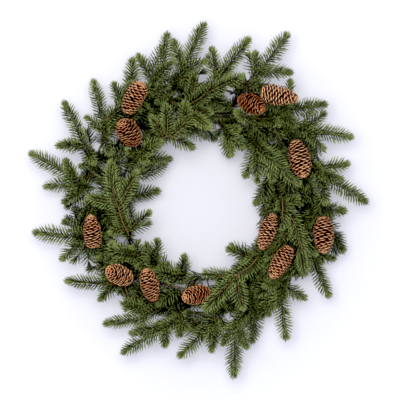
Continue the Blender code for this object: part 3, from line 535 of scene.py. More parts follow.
# How much of its main stem's direction a shoot leaves with, and how far out its middle point lies.
SHOOT_FOLLOW, SHOOT_MIDDLE = 0.45, 0.4


def wood(path):
    """The path cut back to where its wood ends."""
    return at(path, np.linspace(0, run_of(path)[-1] - WOOD_SETBACK, len(path)))


def lifted(path, lift, still):
    """The path with a hump of this height, which leaves its first stretch where it is."""
    run = run_of(path)
    share = np.clip((run - still) / (run[-1] - still), 0, 1)
    return path + np.column_stack([0 * run, 0 * run,
                                   lift * np.sin(math.pi * share**0.8) + lift * 0.4 * share**2])


def is_clear(path, own, start, hooked):
    """Whether a stem along this path keeps off the floor and the crowd from this distance on."""
    length = run_of(path)[-1]
    stations = np.linspace(start, length, max(3, round(length / ROD_LENGTH)))
    points = at(path, stations)
    if points[:, 2].min() < STEM_RADIUS + FLOOR:
        return False
    for station, here, there in zip(stations, points, points[1:]):
        skip = [*own, OWNER_HOOPS] if hooked and station < HOOK_RUN else list(own)
        if crowd.room(here, there, STEM_RADIUS, skip) < CLEARANCE:
            return False
    return True


def clear_path(path, own, start, hooked):
    """The path with the smallest hump that keeps it clear."""
    for lift in LIFTS:
        moved = lifted(path, lift, HOOK_RUN / 2 if hooked else 0)
        if is_clear(moved, own, start, hooked):
            return moved
    return path


def main_stem(hoop, angle, points):
    """A smooth stem from its hook on a hoop through its points, cut back to where its wood ends."""
    inward = hoop == "inner" and np.hypot(*points[0][:2]) < HOOPS["inner"][0]
    return wood(smooth([*hook(hoop, angle, WIRE_RADIUS + STEM_RADIUS + FOOT_GAP, inward), *points]))


def side_shoot(main, root_xy, tip):
    """A quadratic Bezier curve whose middle point keeps some of the main stem's direction."""
    here = int(np.argmin(np.hypot(*(main[:, :2] - root_xy).T)))
    here = min(max(here, 1), len(main) - 2)
    root, reach = main[here], np.array(tip, float) - main[here]
    leaving = unit(SHOOT_FOLLOW * unit(main[here + 1] - main[here - 1]) + unit(reach))
    bend = root + SHOOT_MIDDLE * np.linalg.norm(reach) * leaving
    share = np.linspace(0, 1, 24)[:, None]
    return wood((1 - share)**2 * root + 2 * share * (1 - share) * bend + share**2 * np.array(tip))


owners = {name: range(OWNER_SPRAYS + 10 * k, OWNER_SPRAYS + 10 * k + 10) for k, name in enumerate(SPRAYS)}
stems = {}
for name, (hoop, angle, points, _) in SPRAYS.items():
    stems[name] = [clear_path(main_stem(hoop, angle, points), owners[name][:1], 0.0, True)]
    crowd.add(stems[name][0], STEM_RADIUS, owners[name][0])
for name, (*_, shoots) in SPRAYS.items():
    for owner, (root_xy, tip) in zip(owners[name][1:], shoots):
        shoot = clear_path(side_shoot(stems[name][0], root_xy, tip), owners[name], FORK_RUN, False)
        stems[name].append(shoot)
        crowd.add(shoot, STEM_RADIUS, owner)
all_wood = sum(run_of(path)[-1] for paths in stems.values() for path in paths)
print("Stems:", sum(map(len, stems.values())), "with", round(all_wood / 1000, 2), "m of wood")

# %% [markdown]
# ## Colours and nodes
#
# Colours are written as sRGB hex values, as a painter's chart gives them, and turned to the linear
# values that Blender's shaders work in. One function adds a node, sets it and links its inputs.

# %% Two helpers for materials
def linear(hex_colour):
    """A colour such as '#5f7f3e' as linear red, green, blue and alpha."""
    values = np.array([int(hex_colour[k:k + 2], 16) for k in (1, 3, 5)]) / 255
    values = np.where(values <= 0.04045, values / 12.92, ((values + 0.055) / 1.055) ** 2.4)
    return (*values.tolist(), 1.0)


def add(tree, kind, inputs=(), **settings):
    """A new node with its settings, and each input given a value or linked from a socket."""
    node = tree.nodes.new(kind)
    for name, value in settings.items():
        setattr(node, name, value)
    for name, value in dict(inputs).items():
        if isinstance(value, bpy.types.NodeSocket):
            tree.links.new(value, node.inputs[name])
        else:
            node.inputs[name].default_value = value
    return node


def new_material(name):
    """An empty node tree with its output, ready for a shader."""
    material = bpy.data.materials.new(name)
    material.use_nodes = True
    material.node_tree.nodes.clear()
    return material, material.node_tree


# %% [markdown]
# ## Needles: moulded polyethylene
#
# The needles are injection-moulded polyethylene, coloured through, with a soft satin skin that
# gives each one a thin pale glint. A blade is painted darker at its foot, a painted shade for the
# place where the other needles shade it, and a lighter, yellower green at its end, a painted light
# for the light that shines through the thin tip. The tint attribute carries how far along the needle
# a point is, a number that differs from needle to needle and also holds the painted shade of deep
# needles and of the rows under the stem, and how young its shoot is, which rises towards the shoot's
# end and there is partly a painted highlight. Young shoots are yellow green.

# %% Needle material
needle_material, tree = new_material("moulded_polyethylene_needle")
tint = add(tree, "ShaderNodeAttribute", attribute_name="tint")
parts = add(tree, "ShaderNodeSeparateColor", {"Color": tint.outputs["Color"]})
along, odd, youth_and_highlight = parts.outputs
place = add(tree, "ShaderNodeTexCoord")
# Batches of plastic differ over a few centimetres.
batch = add(tree, "ShaderNodeTexNoise", {"Vector": place.outputs["Object"], "Scale": 22.0, "Detail": 2.0})
batch_share = add(tree, "ShaderNodeMapRange", {"Value": batch.outputs["Fac"], "From Min": 0.35,
                                               "From Max": 0.65, "To Min": 0.0, "To Max": 0.6})
# The odd number, a random tone together with painted shade, runs from a near black green to a light green.
green = add(tree, "ShaderNodeMix", {0: odd, 6: linear("#11180b"), 7: linear("#9cae60")}, data_type="RGBA")
cool = add(tree, "ShaderNodeMix", {0: batch_share.outputs[0], 6: green.outputs[2], 7: linear("#4b5930")},
           data_type="RGBA")
old_to_young = add(tree, "ShaderNodeMix", {0: youth_and_highlight, 6: cool.outputs[2], 7: linear("#a3ad58")},
                   data_type="RGBA")
# Painted shade darkens the foot of each blade, and painted light brightens its end.
painted_foot_shade_end_light = add(tree, "ShaderNodeMapRange", {"Value": along, "From Min": 0.12, "From Max": 0.8,
                                               "To Min": 0.12, "To Max": 1.08})
shaded = add(tree, "ShaderNodeVectorMath", {0: old_to_young.outputs[2], 1: painted_foot_shade_end_light.outputs[0]},
             operation="MULTIPLY")
# Painted light: the end turns a yellower green, for light shining through the thin tip.
end_share = add(tree, "ShaderNodeMapRange", {"Value": along, "From Min": 0.6, "From Max": 1.0,
                                             "To Min": 0.0, "To Max": 0.6})
painted_end_light = add(tree, "ShaderNodeMix", {0: end_share.outputs[0], 6: shaded.outputs[0], 7: linear("#9eac64")},
            data_type="RGBA")
# Painted shade: needles deep in the ring and on the rows under the stem are drawn with a low odd number, and
# keep dark ends too.
deep = add(tree, "ShaderNodeMapRange", {"Value": odd, "From Min": 0.0, "From Max": 0.3,
                                        "To Min": 0.3, "To Max": 1.0})
toned = add(tree, "ShaderNodeVectorMath", {0: painted_end_light.outputs[2], 1: deep.outputs[0]}, operation="MULTIPLY")
skin = add(tree, "ShaderNodeBsdfPrincipled", {"Base Color": toned.outputs[0], "Roughness": 0.45,
                                              "IOR": 1.51})
add(tree, "ShaderNodeOutputMaterial", {"Surface": skin.outputs["BSDF"]})

# %% [markdown]
# ## Twigs: moulded and painted bark
#
# Each stem is a twisted wire inside a brown moulded bark. It shows as a thin warm line where shoots
# fork. A fine noise gives the bark its flecks and its matte, slightly rough skin, and the colour is
# darkened towards the wall, a painted shade for the stems deep in the ring.

# %% Twig material
twig_material, tree = new_material("painted_bark_twig")
place = add(tree, "ShaderNodeTexCoord")
# Bark flecks about 2 mm long.
flecks = add(tree, "ShaderNodeTexNoise", {"Vector": place.outputs["Object"], "Scale": 500.0, "Detail": 3.0})
bark = add(tree, "ShaderNodeMix", {0: flecks.outputs["Fac"], 6: linear("#5e4a30"), 7: linear("#c6a070")},
           data_type="RGBA")
# Painted shade darkens the stems deep in the ring: full colour only from 38 mm above the wall.
height = add(tree, "ShaderNodeSeparateXYZ", {0: place.outputs["Object"]})
painted_depth_shade = add(tree, "ShaderNodeMapRange", {"Value": height.outputs["Z"], "From Min": 0.012, "From Max": 0.038,
                                        "To Min": 0.3, "To Max": 1.0})
depth_shaded = add(tree, "ShaderNodeVectorMath", {0: bark.outputs[2], 1: painted_depth_shade.outputs[0]}, operation="MULTIPLY")
relief = add(tree, "ShaderNodeBump", {"Height": flecks.outputs["Fac"], "Distance": 0.0006, "Strength": 0.6})
skin = add(tree, "ShaderNodeBsdfPrincipled", {"Base Color": depth_shaded.outputs[0], "Roughness": 0.75,
                                              "Normal": relief.outputs[0]})
add(tree, "ShaderNodeOutputMaterial", {"Surface": skin.outputs["BSDF"]})

# %% [markdown]
# ## Cone scales: dry wood
#
# The cones are real, dried and open. A scale is dark brown and dull where it grows from the core,
# painted near black there, partly its darker wood and partly painted shade in the deep gaps, and
# paler and more orange towards its lip, where the wood is bare and weathered. The tint attribute
# carries how far out a point lies, a number for each scale, and how near the lip's edge.

# %% Cone material
cone_material, tree = new_material("dry_cone_wood")
tint = add(tree, "ShaderNodeAttribute", attribute_name="tint")
parts = add(tree, "ShaderNodeSeparateColor", {"Color": tint.outputs["Color"]})
outward, odd, lip = parts.outputs
place = add(tree, "ShaderNodeTexCoord")
# Grain about 1.5 mm wide.
grain = add(tree, "ShaderNodeTexNoise", {"Vector": place.outputs["Object"], "Scale": 650.0, "Detail": 3.0})
# Towards the core a scale goes near black: partly darker wood, partly painted shade.
depth = add(tree, "ShaderNodeMapRange", {"Value": outward, "From Min": 0.6, "From Max": 1.06})
body = add(tree, "ShaderNodeMix", {0: depth.outputs[0], 6: linear("#140a05"), 7: linear("#7d4826")},
           data_type="RGBA")
wood_tone = add(tree, "ShaderNodeMix", {0: odd, 6: linear("#c77b46"), 7: linear("#f9ca96")},
                data_type="RGBA")
edged = add(tree, "ShaderNodeMix", {0: lip, 6: body.outputs[2], 7: wood_tone.outputs[2]}, data_type="RGBA")
grained = add(tree, "ShaderNodeMapRange", {"Value": grain.outputs["Fac"], "From Min": 0.3,
                                           "From Max": 0.7, "To Min": 0.8, "To Max": 1.15})
shaded = add(tree, "ShaderNodeVectorMath", {0: edged.outputs[2], 1: grained.outputs[0]},
             operation="MULTIPLY")
relief = add(tree, "ShaderNodeBump", {"Height": grain.outputs["Fac"], "Distance": 0.0005, "Strength": 0.5})
skin = add(tree, "ShaderNodeBsdfPrincipled", {"Base Color": shaded.outputs[0], "Roughness": 0.62,
                                              "Normal": relief.outputs[0]})
add(tree, "ShaderNodeOutputMaterial", {"Surface": skin.outputs["BSDF"]})

# %% [markdown]
# ## Bristle film and enamelled wire
#
# The bristles are slit from a dark brown plastic film and twisted between two wires. The frame is
# steel wire dipped in dark green enamel, which is glossy and hides the metal.

# %% Bristle and wire materials
bristle_material, tree = new_material("slit_film_bristle")
tint = add(tree, "ShaderNodeAttribute", attribute_name="tint")
film = add(tree, "ShaderNodeMix", {0: tint.outputs["Fac"], 6: linear("#1d1518"), 7: linear("#4a3a3e")},
           data_type="RGBA")
skin = add(tree, "ShaderNodeBsdfPrincipled", {"Base Color": film.outputs[2], "Roughness": 0.5})
add(tree, "ShaderNodeOutputMaterial", {"Surface": skin.outputs["BSDF"]})

wire_material, tree = new_material("enamelled_steel_wire")
place = add(tree, "ShaderNodeTexCoord")
# Runs and dust in the enamel, a few millimetres wide.
runs = add(tree, "ShaderNodeTexNoise", {"Vector": place.outputs["Object"], "Scale": 180.0, "Detail": 3.0})
enamel = add(tree, "ShaderNodeMix", {0: runs.outputs["Fac"], 6: linear("#20281f"), 7: linear("#3c4a38")},
             data_type="RGBA")
rough = add(tree, "ShaderNodeMapRange", {"Value": runs.outputs["Fac"], "To Min": 0.25, "To Max": 0.5})
skin = add(tree, "ShaderNodeBsdfPrincipled", {"Base Color": enamel.outputs[2], "Roughness": rough.outputs[0]})
add(tree, "ShaderNodeOutputMaterial", {"Surface": skin.outputs["BSDF"]})
print("Materials:", [m.name for m in bpy.data.materials if m.name.count("_") >= 2])

# %% [markdown]
# ## One needle, and thousands
#
# A needle is a blade with a ridge along its top: three corners round a low triangle at its foot,
# three more near its end, and a point. Its middle line bends towards the shoot's tip. All needles
# of a spray are worked out together: arrays of roots, directions and face normals go in, and one
# shape comes out.

# %% Needle blades
BLADE_ALONG = np.array([0.0, 0.78])
BLADE_WIDTH = np.array([0.8, 1.0])
NEEDLE_WIDTH = 1.65
NEEDLE_THICK = 1.0
CORNER_SIDE = np.array([1.0, 0.0, -1.0])
CORNER_UP = np.array([-0.4, 0.8, -0.4])


def needle_faces():
    """The faces of one needle: a band of three quads, three triangles to its point and a root cap."""
    k = np.arange(3)
    turn = (k + 1) % 3
    band = np.column_stack([k, turn, 3 + turn, 3 + k])
    point = np.column_stack([3 + k, 3 + turn, np.full(3, 6), np.full(3, -1)])
    return np.vstack([band, point, [[2, 1, 0, -1]]])


NEEDLE_FACES = needle_faces()
NEEDLE_POINTS = 7


def needle_shape(roots, directions, normals, bends, sizes, odds, youths):
    """All needles at once: root + direction * u * size + bend * u * u * size, u from 0 to 1."""
    count = len(roots)
    directions = unit(directions)
    sides = unit(np.cross(directions, normals))
    faces_up = np.cross(sides, directions)
    reach = np.append(BLADE_ALONG, 1.0)
    spine = (roots[:, None] + directions[:, None] * (reach[:, None] * sizes[:, None, None])
             + bends[:, None] * (reach[:, None]**2 * sizes[:, None, None]))
    ring = (sides[:, None, None] * (CORNER_SIDE * NEEDLE_WIDTH / 2)[:, None]
            + faces_up[:, None, None] * (CORNER_UP * NEEDLE_THICK / 2)[:, None])
    rings = spine[:, :-1, None] + ring * BLADE_WIDTH[:, None, None]
    points = np.concatenate([rings.reshape(count, NEEDLE_POINTS - 1, 3), spine[:, -1:]], axis=1)
    faces = np.where(NEEDLE_FACES < 0, -1, NEEDLE_FACES + NEEDLE_POINTS * np.arange(count)[:, None, None])
    along = np.broadcast_to(np.append(np.repeat(BLADE_ALONG, 3), 1.0), (count, NEEDLE_POINTS))
    colours = np.stack([along, np.broadcast_to(odds[:, None], along.shape),
                        np.broadcast_to(youths[:, None], along.shape)], axis=-1)
    return {"points": points.reshape(-1, 3), "faces": faces.reshape(-1, 4),
            "colours": colours.reshape(-1, 3)}


# %% [markdown]
# ## How needles sit on a shoot
#
# A moulded fir tip holds its needles in rows. Two rows stand out to the sides like the teeth of a
# comb, about 5 mm apart. The rows above them are shorter and lie further forward, so that they hide
# the stem. Near the tip every needle swings forward and gets shorter, both with the square root of
# the distance left, and a fan of needles that curl inward closes the end. That makes the end round
# and full, where evenly leaning needles would leave a fork. A table of rows is easier to judge than
# a formula for the whole brush, so the rows are written down.

# %% Rows of needles
NEEDLE_LENGTH = 19.2
ROW_PITCH = 4.9
CLOSING = 20.0
# Each row: its angle round the stem from level, its lean from the stem, its length share, how light
# it is painted, low on the rows under the stem as painted shade, and where in the pitch its first
# needle stands. The two lowest rows stand in step with the side rows, so that the combs stay open.
FULL_ROWS = np.array([(0, 68, 1.0, 0.85, 0.0), (180, 68, 1.0, 0.85, 0.5),
                      (-30, 64, 0.85, 0.1, 0.0), (-150, 64, 0.85, 0.1, 0.5),
                      (35, 60, 0.84, 0.75, 0.5), (145, 60, 0.84, 0.75, 0.0),
                      (12, 54, 0.74, 0.4, 0.5), (168, 54, 0.74, 0.4, 0.0),
                      (62, 48, 0.66, 0.45, 0.2), (118, 48, 0.66, 0.45, 0.7),
                      (80, 26, 0.6, 0.25, 0.6), (100, 26, 0.6, 0.25, 0.1)])
# A filling twig's rows are painted less light, as shade for the back layer.
BACK_ROWS = np.array([(0, 66, 1.0, 0.5, 0.0), (180, 66, 1.0, 0.5, 0.5), (40, 58, 0.8, 0.35, 0.5),
                      (140, 58, 0.8, 0.35, 0.0), (85, 32, 0.6, 0.15, 0.25)])
OPEN_ROWS, DEEP_ROWS = FULL_ROWS[:10], BACK_ROWS[:4]
# Needles crowd a little towards the tip. There they lean and reach only this share of the full.
CROWDING = 1.15
TIP_LEAN, TIP_REACH = 0.35, 0.64
FAN_LEAN = math.radians(39)
FAN_SHARE = 0.79
FAN_ROUNDING = 0.22
# The fan's needles are painted this light.
FAN_LIGHT = 0.5
FAN_RUN = 1.5
rng = np.random.default_rng(20)


def needle_places(length, start, rows, fan):
    """Where needles leave a stem: distance along it, angle round it, lean, length share, lightness.

    Stations stand closer towards the end: start + span * (1 - (1 - t) ** CROWDING). The rows swing
    forward and shorten with the square root of the distance left, which rounds the end off. The
    fan on the end spreads evenly over a dome, with golden angles, and its outer needles are shorter.
    """
    steps = max(3, round((length - start) / ROW_PITCH))
    step, row = (grid.ravel() for grid in np.meshgrid(np.arange(steps), np.arange(len(rows))))
    t = np.clip((step + rows[row, 4] + rng.normal(0, 0.06, len(step))) / steps, 0, 1)
    stations = start + (length - start) * (1 - (1 - t) ** CROWDING)
    swing = np.sqrt(np.clip((length - stations) / CLOSING, 0, 1))
    k = np.arange(fan)
    spread = np.sqrt((k + 0.5) / fan)
    lean = np.radians(rows[row, 1]) * (TIP_LEAN + (1 - TIP_LEAN) * swing)
    reach = rows[row, 2] * (TIP_REACH + (1 - TIP_REACH) * swing)
    return (np.concatenate([stations, length - rng.uniform(0, FAN_RUN, fan)]),
            np.concatenate([np.radians(rows[row, 0]) + rng.normal(0, 0.05, len(step)), k * GOLDEN]),
            np.concatenate([lean, FAN_LEAN * spread]),
            np.concatenate([reach, FAN_SHARE * (1 - FAN_ROUNDING * spread)]),
            np.concatenate([rows[row, 3], np.full(fan, FAN_LIGHT)]))


print("Rows of needles:", len(FULL_ROWS), "on a shoot,", len(BACK_ROWS), "on a filling twig")

# %% [markdown]
# ## Where the foliage is open
#
# The cones were pushed in last, so no needle grows through one or lies over it. One stem between
# two cones shows bare. Here and there the white paper or the bristle wire shows through, and these
# places are a table of round spots. A plain test of distance would punch holes as if with a tool,
# so later each needle keeps its own distance from a spot, drawn by chance, and the gap's edge comes
# out ragged. All the tests are made on whole arrays of points.

# %% Bare stem, open spots and cones
# One stem shows bare between two cones. Needles leave a slot over it.
BARE_STEM = "spray_low_middle"
BARE_RUN = np.array([(-68.0, -145.5), (-15.0, -152.0)])
BARE_SLOT = 2.2
# Open spots: x, y and reach. Filling twigs keep off a whole spot, needles off a part of it.
CLEAR_SPOTS = np.array([
    (131, 204, 9), (143, 202, 7), (164, 188, 10), (168, 145, 6), (214, 97, 9), (219, 70, 10), (238, -36, 8),
    (172, -139, 9), (160, -142, 6), (97, -16, 9), (92, -36, 11), (88, -52, 9), (52, -104, 11), (0, -121, 9),
    (-48, -107, 10), (-100, -72, 8), (-194, -108, 10), (-138, -169, 10), (-110, -237, 7), (-229, -48, 8),
    (-230, -80, 7), (-157, 172, 8), (-200, 131, 7), (-176, 93, 9), (-210, 67, 8), (-185, 26, 6), (3, 209, 9),
    (53, 187, 9), (82, 213, 9), (131, 236, 7), (47, -203, 7), (-99, 204, 6), (-41, 182, 5),
    (12, -142, 13), (-131, 45, 7), (32, 127, 7), (-108, -84, 6), (240, -50, 9), (0, -190, 6),
    (208, 106, 7), (118, 206, 6), (66, 68, 10)])
# Needles stay this far off a cone's body, between these shares of its length.
CONE_AIR = 2.0
CONE_RUN = (-0.05, 1.02)


def off_bare_stem(points):
    """Which points lie further from the bare run than its slot, seen from the front."""
    run = BARE_RUN[1] - BARE_RUN[0]
    share = np.clip((points[..., :2] - BARE_RUN[0]) @ run / (run @ run), 0, 1)
    away = points[..., :2] - BARE_RUN[0] - share[..., None] * run
    return np.hypot(away[..., 0], away[..., 1]) > BARE_SLOT


def off_clear_spots(points, share):
    """Which points lie further from every clear spot than this share of its reach, seen from the front."""
    away = points[:, None, :2] - CLEAR_SPOTS[:, :2]
    reach = CLEAR_SPOTS[:, 2] * np.broadcast_to(share, len(points))[:, None]
    return (np.hypot(away[..., 0], away[..., 1]) > reach).all(1)


def outside_cones(points):
    """Which points lie outside every cone, and don't lie over one, where they would hide it."""
    outside = np.ones(len(points), bool)
    for row in CONES.values():
        base, tip = cone_ends(row)
        length = np.linalg.norm(tip - base)
        axis = (tip - base) / length
        share = (points - base) @ axis / length
        off = points - base - (share * length)[:, None] * axis
        within = (share > CONE_RUN[0]) & (share < CONE_RUN[1])
        body = cone_radius(np.clip(share, 0, 1), row[4]) + CONE_AIR
        inside = np.linalg.norm(off, axis=1) < body
        over = (np.hypot(off[:, 0], off[:, 1]) < body) & (off[:, 2] > 0)
        outside &= ~(within & (inside | over))
    return outside


print("Open spots:", len(CLEAR_SPOTS))

# %% [markdown]
# ## Needles along one stem
#
# Each place on the stem becomes a needle: a root, a direction between along the stem and out from
# it, a size, and the numbers that its material reads. Needles deep in the ring are painted darker,
# a painted shade for where light hardly reaches, but less so at the ring's outer edge, which is open
# to the side. The roll turns the whole comb about its stem a little.

# %% Needles along a stem
# Painted shade: needles at the lower height and below keep this little of their lightness, all of it at the
# upper.
DEPTH_LOW, DEPTH_HIGH = 7.0, 30.0
DEEPEST = 0.06
# From this far out from the middle, over this run, low needles get less painted shade, up to this share.
EDGE_FROM, EDGE_RUN, EDGE_LIGHT = 200.0, 80.0, 0.3
ODD_SPREAD = 0.26
# The first needles of a stem are this share of the full length, which they reach over this run.
FIRST_SHARE, FIRST_RUN = 0.62, 9.0
ROW_CURL, FAN_CURL, RISE = 0.1, 0.2, 0.03
# The share of an open spot's reach that needles of a spray's own stems keep off, and needle tips.
STEM_SPOT, TIP_SPOT = 0.6, 0.8


def needles_along(path, start, roll, youth, rows, fan, filling=False):
    """Rows of needles from this distance along a stem to its end, and a fan on its end.

    A needle's direction is cos(lean) * along + sin(lean) * (cos(angle) * side + sin(angle) * up).
    The needles of a filling twig keep further from the open spots than those of a spray's own stems.
    """
    length = run_of(path)[-1]
    stations, angle, lean, share, light = needle_places(length, start, rows, fan)
    count = len(stations)
    roots = at(path, stations)
    axis = unit(at(path, stations + 1.5) - at(path, stations - 1.5))
    axis = np.where((stations > length - 2)[:, None], unit(path[-1] - path[-3]), axis)
    upright = unit(np.array([0, 0, 1.0]) - axis[:, 2:] * axis)
    level = np.cross(axis, upright)
    up = math.cos(roll) * upright + math.sin(roll) * level
    side = np.cross(axis, up)
    lean = lean * rng.normal(1, 0.05) + rng.normal(0, 0.04, count)
    out = side * np.cos(angle)[:, None] + up * np.sin(angle)[:, None]
    direction = np.cos(lean)[:, None] * axis + np.sin(lean)[:, None] * out
    opening = np.clip((stations - start) / FIRST_RUN, 0, 1)
    size = NEEDLE_LENGTH * share * (FIRST_SHARE + (1 - FIRST_SHARE) * opening) * rng.uniform(0.93, 1.06)
    size = size * rng.uniform(0.94, 1.05, count)
    normal = up + 0.3 * out
    curl = np.where(np.arange(count) >= count - fan, FAN_CURL, ROW_CURL)[:, None]
    bend = curl * axis + RISE * up + rng.normal(0, 0.012, (count, 3))
    tips = roots + (direction + bend) * size[:, None]
    middles = (roots + tips) / 2
    keep = (tips[:, 2] > FLOOR) & outside_cones(tips) & outside_cones(middles)
    keep &= off_bare_stem(tips) & off_bare_stem(middles)
    ragged = rng.uniform(0.5, 1.3, count) * (1.0 if filling else STEM_SPOT)
    keep &= off_clear_spots(tips, TIP_SPOT * ragged) & off_clear_spots(middles, ragged)
    height = np.clip((roots[:, 2] - DEPTH_LOW) / (DEPTH_HIGH - DEPTH_LOW), 0, 1)
    # The outer edge lets light in from the side, so its low needles get less painted shade and keep some of
    # their colour.
    edge = np.clip((np.hypot(roots[:, 0], roots[:, 1]) - EDGE_FROM) / EDGE_RUN, 0, EDGE_LIGHT)
    height = np.maximum(height, edge)
    # The colour number: the row's painted lightness and a random spread, darkened as painted shade deep in
    # the ring.
    odd = np.clip((light + rng.normal(0, ODD_SPREAD, count)) * (DEEPEST + (1 - DEEPEST) * height), 0, 1)
    # The youth grows towards the shoot's end, which is partly a painted highlight on the ends.
    youth_and_highlight = youth * np.clip(stations / length, 0, 1) ** 2
    return needle_shape(roots[keep], direction[keep], normal[keep], bend[keep], size[keep], odd[keep],
                        youth_and_highlight[keep])


# %% [markdown]
# ## Where the filling twigs end
#
# Between its long shoots every spray has short twigs, which makes the ring so dense that its wires
# hardly show. Most of their tips are set on circles round the ring, a little off by chance, some
# in front and some deep inside. Tips placed by chance alone would clump and leave holes. More stand
# on an oval round each cone, and close under a cone that lies high, so that it rests on foliage. A
# few at the ring's edges are listed one by one.

# %% Tips of the filling twigs
# Circles round the ring: radius and how many tips. Then the heights of the tips.
FILL_CIRCLES = {130: 34, 146: 38, 162: 42, 178: 44, 194: 46, 210: 44, 226: 36}
DEEP_CIRCLES = {138: 34, 152: 38, 166: 40, 180: 42, 194: 44, 208: 36}
FILL_LEVELS = (9.0, 42.0)
DEEP_LEVELS = (5.0, 14.0)
TURN_SPREAD, OUT_SPREAD = 0.3, 8.0
# Every cone gets tips round it, this far out. One higher than NEST_FROM gets more, this far below it.
CONE_TWIGS, CONE_MARGIN = 7, 7.0
NEST_FROM, NEST_DEPTH, NEST_TWIGS, NEST_SPREAD = 58, 27, 9, 4.0
# Twigs listed one by one where the ring's edge is full: root (x, y) and tip (x, y, height).
EDGE_TWIGS = [((-112, 50), (-66, 60, 26)), ((-20, 130), (4, 112, 30)), ((10, 136), (22, 110, 28)),
              ((44, 116), (48, 84, 30)), ((92, -88), (62, -82, 44)),
              ((-80, 222), (-68, 256, 34)), ((-152, 30), (-176, 52, 12)), ((-150, 10), (-170, 34, 12)),
              ((-196, 8), (-224, -8, 22)), ((-190, -2), (-206, -18, 16)), ((-120, -54), (-94, -42, 40)),
              ((-122, 40), (-98, 56, 24)), ((-130, 30), (-118, 54, 20)), ((-112, 52), (-84, 62, 28)),
              ((92, 216), (86, 244, 44)), ((-204, 84), (-224, 96, 40)), ((-160, -112), (-186, -118, 30)),
              ((176, 128), (188, 148, 36)), ((-130, -60), (-122, -80, 20)), ((-150, -70), (-166, -84, 16)),
              ((-172, 30), (-186, 58, 28)), ((-160, 26), (-176, 46, 18)), ((-196, -72), (-214, -100, 34)),
              ((14, 226), (16, 242, 44)), ((-96, 128), (-84, 146, 24)), ((-104, 90), (-92, 112, 22))]


def ring_tips(circles, levels):
    """Tips on these circles between these heights: radius * (cos turn, sin turn), a little off."""
    tips = []
    for radius, count in circles.items():
        turn = (np.arange(count) + rng.uniform(-TURN_SPREAD, TURN_SPREAD, count)) * 2 * math.pi / count
        out = radius + rng.uniform(-OUT_SPREAD, OUT_SPREAD, count)
        tips.append(np.column_stack([out * np.cos(turn), out * np.sin(turn), rng.uniform(*levels, count)]))
    return np.vstack(tips)


def oval(row, margin, turns):
    """Places (x, y) round a cone: middle + along * cos(turn) + beside * sin(turn), margin further out."""
    base, tip = (end[:2] for end in cone_ends(row))
    along = (tip - base) / 2
    beside = unit(np.array([along[1], -along[0]])) * (row[4] / 2 + margin)
    along = along + margin * unit(along)
    return (base + tip) / 2 + along * np.cos(turns)[:, None] + beside * np.sin(turns)[:, None]


def cone_tips():
    """Tips low down round each cone."""
    turns = np.arange(CONE_TWIGS) * 2 * math.pi / CONE_TWIGS
    tips = [np.column_stack([oval(row, CONE_MARGIN, turns), rng.uniform(*DEEP_LEVELS, CONE_TWIGS)])
            for row in CONES.values()]
    return np.vstack(tips)


def nest_tips():
    """Tips close under each cone that stands high, so that it lies on foliage."""
    turns = (np.arange(NEST_TWIGS) + 0.5) * 2 * math.pi / NEST_TWIGS
    tips = []
    for row in (row for row in CONES.values() if row[2] > NEST_FROM):
        heights = row[2] - NEST_DEPTH + rng.uniform(-NEST_SPREAD, NEST_SPREAD, NEST_TWIGS)
        tips.append(np.column_stack([oval(row, 0.0, turns), heights]))
    return np.vstack(tips)


print("Tips on circles:", sum(FILL_CIRCLES.values()) + sum(DEEP_CIRCLES.values()))

# %% [markdown]
# ## Growing the filling twigs
#
# Each twig grows from the stem point that leaves it a fair length and sends it clockwise, as the
# whole wreath sweeps. Scattering loose twigs would be easier, but growing every one from a stem
# that is already there keeps each spray one piece. A twig that would meet a cone, an open spot or
# the floor is left out.

# %% Grow the filling twigs
FILL_LENGTH = 44.0
# A twig across the sweep counts as this many mm off the fair length.
AGAINST_SWEEP = 30
# Twigs bow in towards the hole by this share of their length.
INWARD_BOW = 0.12
ROOT_STEP = 5
TWIG_RADIUS, TWIG_AIR, TWIG_FLOOR = 1.0, 0.5, 3.0

rooting = {name: paths for name, paths in stems.items() if name != BARE_STEM}
stem_points, stem_names = [], []
for name, paths in rooting.items():
    for path in paths:
        stem_points.append(at(path, np.arange(4, run_of(path)[-1], ROOT_STEP)))
        stem_names += [name] * len(stem_points[-1])
stem_points = np.vstack(stem_points)
cone_crowd = Crowd()
for row in CONES.values():
    add_cone(cone_crowd, row, OWNER_CONES)


def fill_twig(tip, root_xy=None):
    """The twig that ends at this tip, and the spray that it grows on.

    Its root is the stem point nearest to root_xy, or else the one that gives it a fair length and
    sends it clockwise.
    """
    reach = tip - stem_points
    away = np.linalg.norm(reach, axis=1)
    clockwise = unit(np.array([tip[1], -tip[0], 0.0]))
    cost = np.abs(away - FILL_LENGTH) + AGAINST_SWEEP * (1 - unit(reach) @ clockwise)
    if root_xy is not None:
        cost = np.hypot(*(stem_points[:, :2] - root_xy).T)
    nearest = int(np.argmin(cost))
    root = stem_points[nearest]
    middle = (root + tip) / 2 - INWARD_BOW * np.linalg.norm(tip - root) * unit(np.array([*tip[:2], 0.0]))
    share = np.linspace(0, 1, 10)[:, None]
    path = (1 - share)**2 * root + 2 * share * (1 - share) * middle + share**2 * tip
    return stem_names[nearest], path


def fill(tips, roots=None):
    """The twigs to these tips that keep off the cones, the open spots and the floor."""
    laid = []
    for number, tip in enumerate(tips):
        name, path = fill_twig(tip, None if roots is None else roots[number])
        free = all(cone_crowd.room(a, b, TWIG_RADIUS, []) > TWIG_AIR for a, b in zip(path[1:], path[2:]))
        clear = off_clear_spots(path, 1.0).all() and off_bare_stem(path).all()
        if free and clear and path[:, 2].min() > TWIG_FLOOR:
            laid.append((name, path))
    return laid


